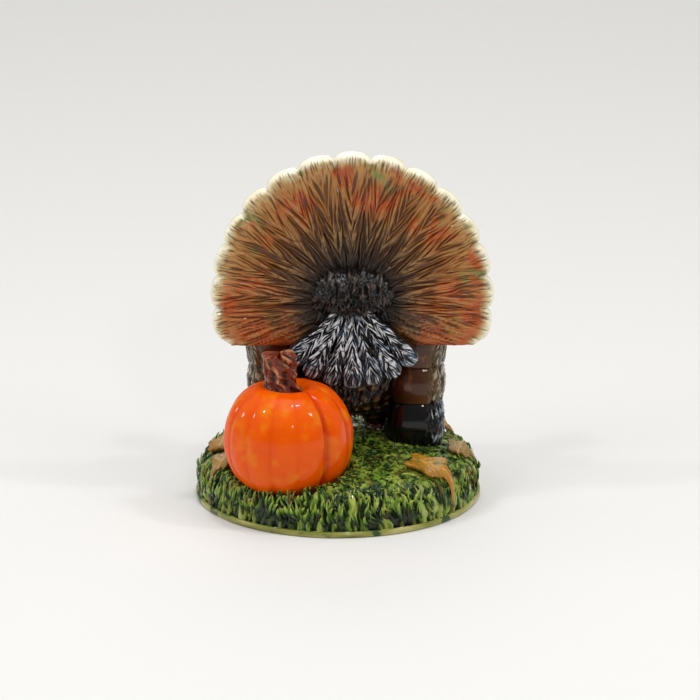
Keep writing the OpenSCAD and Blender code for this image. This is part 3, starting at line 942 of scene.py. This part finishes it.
class TURKEY_OT_head(Operator):
    """Makes the neck, head, beak, snood, wattle and eyes"""

    bl_idname = "turkey.head"
    bl_label = "Head"

    def execute(self, context):
        skin_paint, flesh, horn, black = head_paint(), flesh_paint(), horn_paint(), eye_paint()
        t = evenly(90)
        a = once_round(120)

        low, high = box_mm("neck")
        head_mid, head_half = span_mm("head")
        r = mix((high[0] - low[0]) / 2 + 0.3, 2.5, smooth(t, 0, 0.9))
        caruncles = unit(0.5 + 0.7 * noise(a * 3.2, t * 9, 61) * 1.2)
        bump = 0.55 * (1 - 0.5 * t) * (caruncles - 0.4)
        y0 = low[1] + (high[0] - low[0]) / 2
        path_y = mix(y0, head_mid[1] - 0.5, t**1.2)
        x = middle("neck")[0] + (r + bump) * np.cos(a)
        y = path_y + (r + bump) * np.sin(a)
        z = mix(low[2] + 0.6, head_mid[2] - 0.8, t)
        made = skin("wrinkled_neck", joined(x, y, z), ridge=caruncles, along=0.55 * t)
        place(made, "head_skin", skin_paint, "neck")

        tilt = mix(-0.5 * math.pi + 0.03, 0.5 * math.pi - 0.03, t)
        warts = unit(0.5 + 0.6 * noise(a * 4, tilt * 4, 67))
        brow = 0.35 * bell(np.sin(tilt) - 0.52, 0.14) * np.abs(np.cos(a)) ** 2
        socket = 0.45 * bell(np.sin(tilt) - 0.25, 0.2) * np.abs(np.cos(a)) ** 6
        out = 0.3 * (warts - 0.5) + brow - socket
        long = 1 + 0.1 * unit(np.sin(a)) * np.cos(tilt)
        x = head_mid[0] + (head_half[0] + out) * np.cos(tilt) * np.cos(a)
        y = head_mid[1] + (head_half[1] + out) * long * np.cos(tilt) * np.sin(a)
        z = head_mid[2] + (head_half[2] + 0.5 * out) * np.sin(tilt)
        made = skin("wrinkled_head", joined(x, y, z), ridge=warts, along=0.62 + 0.3 * np.sin(tilt))
        place(made, "head_skin", skin_paint, "head")

        low, high = box_mm("beak")
        r = (high[0] - low[0]) / 2 * (1.15 - t**1.6) + 0.05
        hook = 1.0 * t**3
        mouth = 0.22 * bell(np.sin(a) + 0.25, 0.12) * unit(1 - t)
        x = middle("beak")[0] + (r - mouth) * np.cos(a)
        y = mix(low[1] - 0.4, high[1] + 0.1, t)
        z = high[2] - (high[0] - low[0]) / 2 - hook + (r - mouth) * np.sin(a)
        made = skin("horn_beak", joined(x, y, z), ridge=1 - 3 * mouth, along=t)
        place(made, "beak_horn", horn, "beak")

        for name, node, wrinkle in (("fleshy_snood", "snood", 0.12), ("fleshy_wattle", "wattle", 0.28)):
            low, high = box_mm(node)
            swell = np.sin(math.pi * np.clip(1 - t, 0.02, 0.98) ** 0.8) ** 0.7 * (0.75 + 0.25 * t)
            folds = 0.5 + 0.5 * np.cos(4 * a + 5 * t) * (1 - 0.4 * t)
            rx = (high[0] - low[0]) / 2 * swell + wrinkle * (folds - 0.5) * swell
            x = middle(node)[0] + rx * np.cos(a)
            y = middle(node)[1] + rx * np.sin(a) - 0.3 * t**2
            z = mix(low[2], high[2] + 0.3, t)
            made = skin(name, joined(x, y, z), ridge=folds, along=t)
            place(made, "red_wattle", flesh, node)

        for word, side in SIDES.items():
            centre, half = span_mm(f"eye_{word}")
            rim = evenly(40)  # from the lid's root, over its lip, to the middle of the eye
            stops = [0, 0.3, 0.45, 0.55, 0.62, 1]
            profile_r = half[0] * np.interp(rim, stops, [1.5, 1.65, 1.35, 1.15, 1.0, 0.03])
            profile_x = half[0] * np.interp(rim, stops, [-0.8, 0.0, 0.35, 0.3, 0.35, 0.85])
            x = centre[0] - side * 0.35 + side * profile_x
            y, z = centre[1] + profile_r * np.cos(a), centre[2] + profile_r * np.sin(a)
            made = skin(f"enamel_eye_{word}", joined(x, y, z), ridge=0.6, along=rim)
            place(made, "eye_black", black, f"eye_{word}")
        return {"FINISHED"}


class TURKEY_OT_pumpkin(Operator):
    """Makes the ribbed pumpkin and its gnarled stem"""

    bl_idname = "turkey.pumpkin"
    bl_label = "Pumpkin"

    def execute(self, context):
        low, high = box_mm("pumpkin")
        centre = (low + high) / 2
        radius, half_h = (high[0] - low[0]) / 2, (high[2] - low[2]) / 2
        grooves = np.radians([-132, -98, -68, -41, -16, 10, 40, 72, 103, 135, 166, 197])
        depths = [0.7, 0.6, 0.45, 0.3, 0.35, 0.22, 1.3, 0.6, 0.6, 0.7, 0.6, 0.7]
        tilt = np.linspace(0.03, math.pi - 0.03, 130)[:, None]
        a = once_round(360)
        turn = a + 0.5 * math.pi  # 0 at the side that faces -Y, growing towards +X
        dent = 0 * a
        near = 0 * a
        for angle, depth in zip(grooves, depths):
            gap = np.abs((turn - angle + math.pi) % (2 * math.pi) - math.pi)
            dent = dent + depth * (0.55 * bell(gap, 0.055) + 0.45 * bell(gap, 0.2))
            near = np.maximum(near, min(1, 0.3 + depth) * bell(gap, 0.08))
        wave = np.sin(tilt)
        flat = np.sin(tilt) ** 0.72
        hollow = bell(flat, 0.3)
        lift = np.where(tilt < 0.5 * math.pi, 1, -1)
        height = (1 - unit(flat) ** 2.6) ** 0.46 - 0.24 * hollow
        r = radius * flat - dent * wave**0.6 * (0.55 + 0.45 * wave)
        crease = 0.12 * noise(turn * 5, tilt * 3, 41) * wave
        z = centre[2] + half_h / 0.93 * lift * height - 0.35 * dent * hollow * lift
        x = centre[0] + (r + crease) * np.cos(a)
        y = centre[1] + (r + crease) * np.sin(a)
        masks = {
            "ridge": unit(1 - near * (0.35 + 0.45 * wave)),
            "along": unit(0.75 - 0.5 * dent),
            "streak": unit(0.6 + 0.5 * noise(turn * 9, tilt * 1.2, 44)),
        }
        made = skin("ribbed_pumpkin", joined(x, y, z), **masks)
        place(made, "pumpkin_skin", pumpkin_paint(context.scene.turkey_colours), "pumpkin")

        low, high = box_mm("pumpkin_stem")
        t = evenly(110)
        a = once_round(150)
        twist = a + 1.4 * t
        flutes = 0.5 + 0.5 * np.cos(6 * twist + 1.6 * noise(a * 1.3, t * 4, 71))
        knots = unit(0.5 + 0.8 * noise(np.cos(twist) * 3.2, np.sin(twist) * 3.2 + 7 * t, 73))
        rough = unit(0.5 + 0.9 * noise(a * 5 + 2 * t, t * 9, 74))
        carved = unit(0.4 * flutes + 0.3 * knots + 0.3 * rough)
        flare = 1.0 + 0.3 * bell(t, 0.15) + 0.08 * bell(t - 0.95, 0.1)
        r = (high[1] - low[1]) / 2 * 0.84 * flare + 1.2 * (carved - 0.5)
        close = np.sqrt(np.clip(1 - ((t - 0.93) / 0.07).clip(0, 1) ** 2, 0.001, 1))
        lean = centre[0] - 1.2 - 0.2 * t
        x = lean + r * close * np.cos(a)
        y = centre[1] + r * close * np.sin(a)
        jag = 0.7 * (knots - 0.5) * smooth(t, 0.7, 1)
        z = mix(low[2], high[2] + 1.1, t) + jag
        made = skin("gnarled_pumpkin_stem", joined(x, y, z), ridge=carved, along=t)
        place(made, "stem", stem_paint(context.scene.turkey_colours), "pumpkin_stem")
        return {"FINISHED"}


class TURKEY_OT_leaves(Operator):
    """Makes the fallen leaves"""

    bl_idname = "turkey.leaves"
    bl_label = "Leaves"

    def execute(self, context):
        ground = Ground()
        colours = context.scene.turkey_colours
        warm, tan = leaf_paint(colours, True), leaf_paint(colours, False)
        shapes = {
            "leaf_right": (-0.35, 4.6, 3.9, 0.3, warm),
            "leaf_right_edge": (1.4, 3.3, 2.5, 0.35, tan),
            "leaf_right_back": (1.33, 3.0, 2.4, 3.6, warm),
            "leaf_left": (1.22, 3.0, 2.5, 0.4, tan),
            "leaf_left_back": (1.4, 3.3, 2.6, 0.6, warm),
        }
        for seed, (name, (turn, half_long, half_wide, curl, paint)) in enumerate(shapes.items()):
            centre = middle(name)
            a = once_round(120)
            shares = np.concatenate([np.linspace(0.02, 1, 26), np.linspace(1, 0.02, 26)])[:, None]
            top = np.repeat([0.0, 1.0], 26)[:, None]
            lobes = 0.84 + 0.13 * np.cos(5 * a) + 0.04 * np.cos(10 * a + 0.7)
            lobes = lobes + 0.05 * noise(a * 4, 0 * a, seed)
            u, v = half_long * shares * lobes * np.cos(a), half_wide * shares * lobes * np.sin(a)
            x = centre[0] + u * math.cos(turn) - v * math.sin(turn)
            y = centre[1] + u * math.sin(turn) + v * math.cos(turn)
            vein = bell(v, 0.16)
            side = (u - 0.9 * np.abs(v)) / 1.25
            branch = bell(side - np.round(side), 0.1)
            ridge = unit(0.4 + 0.5 * vein + 0.4 * branch + 0.12 * noise(u / 0.3, v / 0.3, seed))
            bend = curl * (unit(u / half_long) ** 2) + 0.45 * (np.abs(v) / half_wide) ** 2
            body = np.sqrt(unit(1 - shares**8))
            face = np.where(top > 0, 0.28 + 0.22 * (ridge - 0.4), -0.7)
            z = ground.at(x, y) + 1.0 + bend + body * face
            made = skin(f"veined_{name}", joined(x, y, z), ridge=ridge, along=1 - shares * 0.7)
            place(made, "leaf", paint, name)
        return {"FINISHED"}


def blade_mesh():
    """One grass blade, a unit long and a unit wide, that curves over to a blunt point."""
    t = evenly(6)
    a = once_round(5)
    width = 0.5 * np.array([0.8, 1.0, 0.97, 0.82, 0.55, 0.15])[:, None]
    x = width * np.cos(a) + 0.7 * np.sin(2.4 * t)
    y = 0.3 * width * np.sin(a)
    return skin("grass_blade", joined(x, y, t - 0.15 * t**3) / MM, along=t, ridge=t)


def grass_tree(paint):
    """Geometry nodes that plant blades on a surface. Where it is steep they stand up along it, and
    where it is level they lie over in all directions."""
    tree = bpy.data.node_groups.new("plant_grass", "GeometryNodeTree")
    face = tree.interface
    face.new_socket("Geometry", in_out="INPUT", socket_type="NodeSocketGeometry")
    ids = {}
    for name, kind in (
        ("Blade", "NodeSocketObject"),
        ("Density", "NodeSocketFloat"),
        ("Length", "NodeSocketFloat"),
        ("Width", "NodeSocketFloat"),
        ("Seed", "NodeSocketInt"),
    ):
        ids[name] = face.new_socket(name, in_out="INPUT", socket_type=kind).identifier
    face.new_socket("Geometry", in_out="OUTPUT", socket_type="NodeSocketGeometry")
    given = add(tree, "NodeGroupInput").outputs

    def grown(attribute):
        inputs = {"Name": attribute}
        return add(tree, "GeometryNodeInputNamedAttribute", inputs, data_type="FLOAT").outputs[0]

    def chance(low, high, seed):
        inputs = {2: low, 3: high, "Seed": seed}
        return add(tree, "FunctionNodeRandomValue", inputs, data_type="FLOAT").outputs[1]

    def times(a, b):
        return add(tree, "ShaderNodeMath", {0: a, 1: b}, operation="MULTIPLY").outputs[0]

    def vector(operation, *values, out=0):
        inputs = dict(enumerate(values))
        return add(tree, "ShaderNodeVectorMath", inputs, operation=operation).outputs[out]

    inputs = {
        "Mesh": given["Geometry"],
        "Density": times(given["Density"], grown("growth")),
        "Seed": given["Seed"],
    }
    points = add(tree, "GeometryNodeDistributePointsOnFaces", inputs)
    normal = points.outputs["Normal"]
    inputs = {0: (-0.75, -0.75, -0.1), 1: (0.75, 0.75, 0.3), "Seed": 1}
    sway = add(tree, "FunctionNodeRandomValue", inputs, data_type="FLOAT_VECTOR").outputs[0]
    wish = vector("ADD", sway, (0.0, 0.0, 1.0))
    facing = add(tree, "ShaderNodeVectorMath", {0: wish, 1: normal}, operation="DOT_PRODUCT")
    inputs = {0: normal, "Scale": facing.outputs["Value"]}
    outward = add(tree, "ShaderNodeVectorMath", inputs, operation="SCALE").outputs[0]
    lying = vector("SUBTRACT", wish, outward)
    inputs = {0: normal, "Scale": chance(-0.02, 0.13, 6)}
    raised = add(tree, "ShaderNodeVectorMath", inputs, operation="SCALE").outputs[0]
    inputs = {"Primary Axis": vector("ADD", lying, raised), "Secondary Axis": normal}
    turned = add(tree, "FunctionNodeAxesToRotation", inputs, primary_axis="Z", secondary_axis="Y")
    spin = add(tree, "ShaderNodeCombineXYZ", {"Z": chance(-1.0, 1.0, 2)}).outputs[0]
    inputs = {"Rotation": turned.outputs[0], "Rotate By": spin}
    turned = add(tree, "FunctionNodeRotateRotation", inputs, rotation_space="LOCAL").outputs[0]
    long = times(times(given["Length"], chance(0.6, 1.25, 3)), grown("tall"))
    wide = times(times(given["Width"], chance(0.7, 1.3, 4)), grown("tall"))
    size = add(tree, "ShaderNodeCombineXYZ", {"X": wide, "Y": wide, "Z": long}).outputs[0]
    blade = add(tree, "GeometryNodeObjectInfo", {"Object": given["Blade"]}).outputs["Geometry"]
    inputs = {"Points": points.outputs["Points"], "Instance": blade, "Rotation": turned, "Scale": size}
    planted = add(tree, "GeometryNodeInstanceOnPoints", inputs).outputs[0]
    real = add(tree, "GeometryNodeRealizeInstances", {"Geometry": planted}).outputs[0]
    dressed = add(tree, "GeometryNodeSetMaterial", {"Geometry": real, "Material": paint}).outputs[0]
    add(tree, "NodeGroupOutput", {0: dressed})
    return tree, ids


def uncovered(x, y):
    """1 where the ground is open and 0 under what stands or lies on it."""
    open_share = np.ones_like(x)
    for name in ("pumpkin", "wing_primaries_left", "wing_primaries_right", *LEAVES):
        centre, half = span_mm(name)
        half = half * (0.62 if name == "pumpkin" else 0.85)
        reach = np.hypot((x - centre[0]) / half[0], (y - centre[1]) / half[1])
        open_share = np.minimum(open_share, smooth(reach, 0.95, 1.0))
    return open_share


class TURKEY_OT_base(Operator):
    """Makes the footing, the ground and its grass"""

    bl_idname = "turkey.base"
    bl_label = "Base"

    def execute(self, context):
        sizes = context.scene.turkey_sizes
        low, high = box_mm("footing")
        half = (high - low) / 2
        a = once_round(240)
        edge = [(0.985, 0), (0.996, 0.12), (1.0, 0.35), (1.0, 0.65), (0.996, 0.88), (0.985, 1)]
        shares, levels = np.array([(0.02, 0), *edge, (0.02, 1)]).T[:, :, None]
        worn = 1 + 0.002 * noise(a * 6, 0 * a, 3)
        x, y = half[0] * shares * worn * np.cos(a), half[1] * shares * worn * np.sin(a)
        rings = joined(x, y, mix(low[2], high[2], levels))
        along = 0.5 + 0.5 * noise(a * 5, levels, 4)
        made = skin("painted_footing", rings, ridge=0.6, along=along)
        place(made, "footing_rim", rim_paint(), "footing")

        ground = Ground()
        low, high = box_mm("grass_mound")
        half = (high - low) / 2
        # Rings are spaced evenly along the profile, so that the steep wall gets its share.
        fine = np.linspace(1, 0.02, 900)
        profile = ground.at(0 * fine, -half[1] * fine)
        run = np.concatenate([[0], np.cumsum(np.hypot(np.diff(half[1] * fine), np.diff(profile)))])
        wall_run, wall_rings, top_rings = 9, 58, 40
        wall = np.linspace(0.02, wall_run, wall_rings)
        even = np.concatenate([wall, np.linspace(wall_run + 0.4, run[-1], top_rings)])
        shares = np.concatenate([[0.02, 0.99], np.interp(even, run, fine)])[:, None]
        climb = np.concatenate([[0, 0], even])[:, None]
        a = once_round(840)
        x, y = half[0] * shares * np.cos(a), half[1] * shares * np.sin(a)
        z = ground.at(x, y)
        z[:2] = low[2]
        around = a * (half[0] + half[1]) / 2
        lean = 1.1 * noise(around / 3.4, climb / 3, 61)
        lean = lean + 0.35 * noise(around / 1.1, climb / 1.4, 62)
        tall = strokes(around + lean, climb + 0 * a, 0.5, 2.4, 63)
        tangle = np.maximum(
            strokes(0.8 * x + 0.6 * y, 0.8 * y - 0.6 * x, 0.3, 1.3, 64),
            strokes(0.7 * x - 0.7 * y, 0.7 * y + 0.7 * x, 0.3, 1.3, 65),
        )
        upright = 1 - smooth(climb, 6, 9.5)
        ridge = mix(0.85 * tangle, tall, upright)
        rings = joined(x, y, z)
        flow = np.roll(rings, -1, axis=1) - np.roll(rings, 1, axis=1)
        rise = np.gradient(rings, axis=0)
        normal = np.cross(flow, rise)
        normal /= np.linalg.norm(normal, axis=-1, keepdims=True) + 1e-9
        normal *= np.sign(normal[wall_rings + 2, 0, 2])
        height = smooth(climb, 0.0, 0.7) * (mix(0.6, 1.1, upright) * (ridge - 0.75)) - 0.1
        height[:2] = -0.1
        normal[:2] = joined(np.cos(a), np.sin(a), 0)
        masks = {
            "ridge": ridge,
            "along": unit(0.5 + 0.5 * noise(x / 1.6, y / 1.6, 66) + 0.2 * (ridge - 0.5)),
            "growth": uncovered(x, y) * smooth(climb, 1.0, 1.5),
            "tall": mix(0.6, 1.0, 1 - smooth(climb, 1.5, 5.0)),
        }
        made = skin("carved_ground", rings + normal * height[..., None], **masks)
        place(made, "grass", ground_paint(context.scene.turkey_colours), "grass_mound")

        paint = grass_paint(context.scene.turkey_colours)
        tree, ids = grass_tree(paint)
        blade = blade_mesh()
        planter = skin("turf_bed", rings, **masks)
        turf = planter.modifiers.new("plant_grass", "NODES")
        turf.node_group = tree
        turf[ids["Blade"]] = blade
        turf[ids["Density"]] = sizes.blade_density / MM**2
        turf[ids["Length"]] = sizes.blade_length
        turf[ids["Width"]] = sizes.blade_width
        turf[ids["Seed"]] = 5
        context.view_layer.update()
        shown = planter.evaluated_get(context.evaluated_depsgraph_get())
        mesh = bpy.data.meshes.new_from_object(shown)
        planter.modifiers.remove(turf)
        bpy.data.objects.remove(planter)
        bpy.data.objects.remove(blade)
        mesh.shade_smooth()
        blades = bpy.data.objects.new("grass_blades", mesh)
        context.scene.collection.objects.link(blades)
        place(blades, "grass", paint, "grass_mound")
        return {"FINISHED"}


# ---------------------------------------------------------------- stage


def plain(name, hex_colour, roughness):
    material = bpy.data.materials.new(name)
    material.use_nodes = True
    shader = material.node_tree.nodes["Principled BSDF"]
    shader.inputs["Base Color"].default_value = linear(hex_colour)
    shader.inputs["Roughness"].default_value = roughness
    return material


class TURKEY_OT_stage(Operator):
    """Makes the pale sweep, the lamps and the camera"""

    bl_idname = "turkey.stage"
    bl_label = "Stage"

    def execute(self, context):
        scene = context.scene
        profile = [(-2.4, 0.0), (1.6, 0.0)]
        profile += [(1.6 + 0.4 * math.sin(k), 0.4 - 0.4 * math.cos(k)) for k in np.linspace(0.15, 1.4, 12)]
        profile += [(2.05, 1.6)]
        verts = [(x, y, z) for y, z in profile for x in (-2.4, 2.4)]
        faces = [(2 * i, 2 * i + 1, 2 * i + 3, 2 * i + 2) for i in range(len(profile) - 1)]
        mesh = bpy.data.meshes.new("sweep")
        mesh.from_pydata(verts, [], faces)
        mesh.shade_smooth()
        sweep = bpy.data.objects.new("sweep", mesh)
        sweep.data.materials.append(plain("matte_paper_sweep", "#e4e3e1", 0.9))
        scene.collection.objects.link(sweep)

        target = Vector((0.00204, 0.0, 0.0252))
        soft = (
            ("left_softbox", (-0.34, -0.26, 0.34), 0.25, 0.45),
            ("right_softbox", (0.34, -0.24, 0.34), 0.25, 0.4),
            ("top_softbox", (0.0, 0.02, 0.5), 0.4, 0.45),
            ("back_softbox", (0.0, 0.6, 0.5), 0.5, 0.9),
        )
        bare = (
            ("left_lamp", (-0.33, -0.12, 0.42), 0.045, 0.32),
            ("middle_lamp", (0.06, -0.03, 0.55), 0.05, 0.4),
            ("right_lamp", (0.33, -0.12, 0.42), 0.045, 0.32),
            ("side_lamp", (-0.5, 0.14, 0.22), 0.06, 0.16),
            ("front_lamp", (0.1, -0.5, 0.3), 0.04, 0.3),
        )
        for name, spot, size, power in soft + bare:
            light = bpy.data.lights.new(name, "AREA")
            light.shape = "DISK"
            light.size = size
            light.energy = power
            lamp = bpy.data.objects.new(name, light)
            lamp.location = spot
            lamp.rotation_euler = (target - Vector(spot)).to_track_quat("-Z", "Y").to_euler()
            lamp.visible_glossy = size < 0.1 or spot[0] == 0
            scene.collection.objects.link(lamp)
        world = bpy.data.worlds.new("pale_room")
        world.use_nodes = True
        tree = world.node_tree
        tree.nodes.clear()
        ray = add(tree, "ShaderNodeTexCoord").outputs["Generated"]
        facing = add(tree, "ShaderNodeVectorMath", {0: ray, 1: (0.0, 1.0, 0.8)}, operation="DOT_PRODUCT")
        inputs = {"Value": facing.outputs["Value"], "From Min": -0.7, "From Max": 0.7}
        inputs.update({"To Min": 0.22, "To Max": 0.62})
        strength = add(tree, "ShaderNodeMapRange", inputs, interpolation_type="SMOOTHSTEP").outputs["Result"]
        glow = add(tree, "ShaderNodeBackground", {"Color": linear("#f1f1ef"), "Strength": strength})
        add(tree, "ShaderNodeOutputWorld", {"Surface": glow.outputs[0]})
        scene.world = world
        scene.view_settings.view_transform = "Standard"

        camera = bpy.data.objects.new("camera", bpy.data.cameras.new("camera"))
        camera.data.lens = 333
        rise, away = math.radians(16.5), 1.1
        camera.location = target + Vector((0, -away * math.cos(rise), away * math.sin(rise)))
        camera.rotation_euler = (target - camera.location).to_track_quat("-Z", "Y").to_euler()
        scene.collection.objects.link(camera)
        scene.camera = camera
        return {"FINISHED"}


# ---------------------------------------------------------------- add-on


class TurkeySizes(PropertyGroup):
    barb_width: FloatProperty(
        name="Barb width", description="Width of a carved tail barb, in mm", default=0.19
    )
    fan_hang: FloatProperty(
        name="Fan hang", description="How far the fan's level lower edge is below its middle, in mm", default=7.7
    )
    barb_height: FloatProperty(
        name="Barb height", description="Depth of the carving on the tail, in mm", default=0.42
    )
    scale_height: FloatProperty(
        name="Feather height", description="Step at each body feather's tip, in mm", default=0.5
    )
    blade_density: FloatProperty(name="Blade density", description="Grass blades on each square mm", default=0.8)
    blade_length: FloatProperty(
        name="Blade length", description="Length of a grass blade", default=0.0032, unit="LENGTH"
    )
    blade_width: FloatProperty(
        name="Blade width", description="Width of a grass blade", default=0.00075, unit="LENGTH"
    )


def colour(name, description, hex_colour):
    """A colour that the panel shows; it holds linear values."""
    default = linear(hex_colour)[:3]
    return FloatVectorProperty(
        name=name, description=description, default=default, subtype="COLOR", size=3, min=0, max=1
    )


class TurkeyColours(PropertyGroup):
    tail: colour("Tail", "Brown of the outer half of the tail feathers", "#94581f")
    silver: colour("Silver", "Dry-brushed ridges of the under-tail coverts", "#dcdce0")
    pumpkin: colour("Pumpkin", "Main orange of the pumpkin", "#ea5600")
    stem: colour("Stem", "Red-brown of the pumpkin's stem", "#6c250e")
    leaf: colour("Leaf", "Ochre of the warm leaves", "#b07a1c")
    grass: colour("Grass", "Main green of the grass", "#6f9229")


OPERATORS = (
    TURKEY_OT_stage,
    TURKEY_OT_base,
    TURKEY_OT_leaves,
    TURKEY_OT_pumpkin,
    TURKEY_OT_body,
    TURKEY_OT_wings,
    TURKEY_OT_legs,
    TURKEY_OT_rump,
    TURKEY_OT_tail_fan,
    TURKEY_OT_coverts,
    TURKEY_OT_head,
)


class TURKEY_PT_panel(Panel):
    """Buttons for each piece of the figurine"""

    bl_idname = "TURKEY_PT_panel"
    bl_label = "Turkey figurine"
    bl_space_type = "VIEW_3D"
    bl_region_type = "UI"
    bl_category = "Turkey"

    def draw(self, context):
        for group in (context.scene.turkey_sizes, context.scene.turkey_colours):
            for name in type(group).__annotations__:
                self.layout.prop(group, name)
        for operator in OPERATORS:
            self.layout.operator(operator.bl_idname)


CLASSES = (TurkeySizes, TurkeyColours, *OPERATORS, TURKEY_PT_panel)


def register():
    for item in CLASSES:
        bpy.utils.register_class(item)
    bpy.types.Scene.turkey_sizes = PointerProperty(type=TurkeySizes)
    bpy.types.Scene.turkey_colours = PointerProperty(type=TurkeyColours)


def unregister():
    del bpy.types.Scene.turkey_colours
    del bpy.types.Scene.turkey_sizes
    for item in reversed(CLASSES):
        bpy.utils.unregister_class(item)


def main():
    register()
    for operator in OPERATORS:
        group, name = operator.bl_idname.split(".")
        getattr(getattr(bpy.ops, group), name)()


if __name__ == "__main__":
    main()
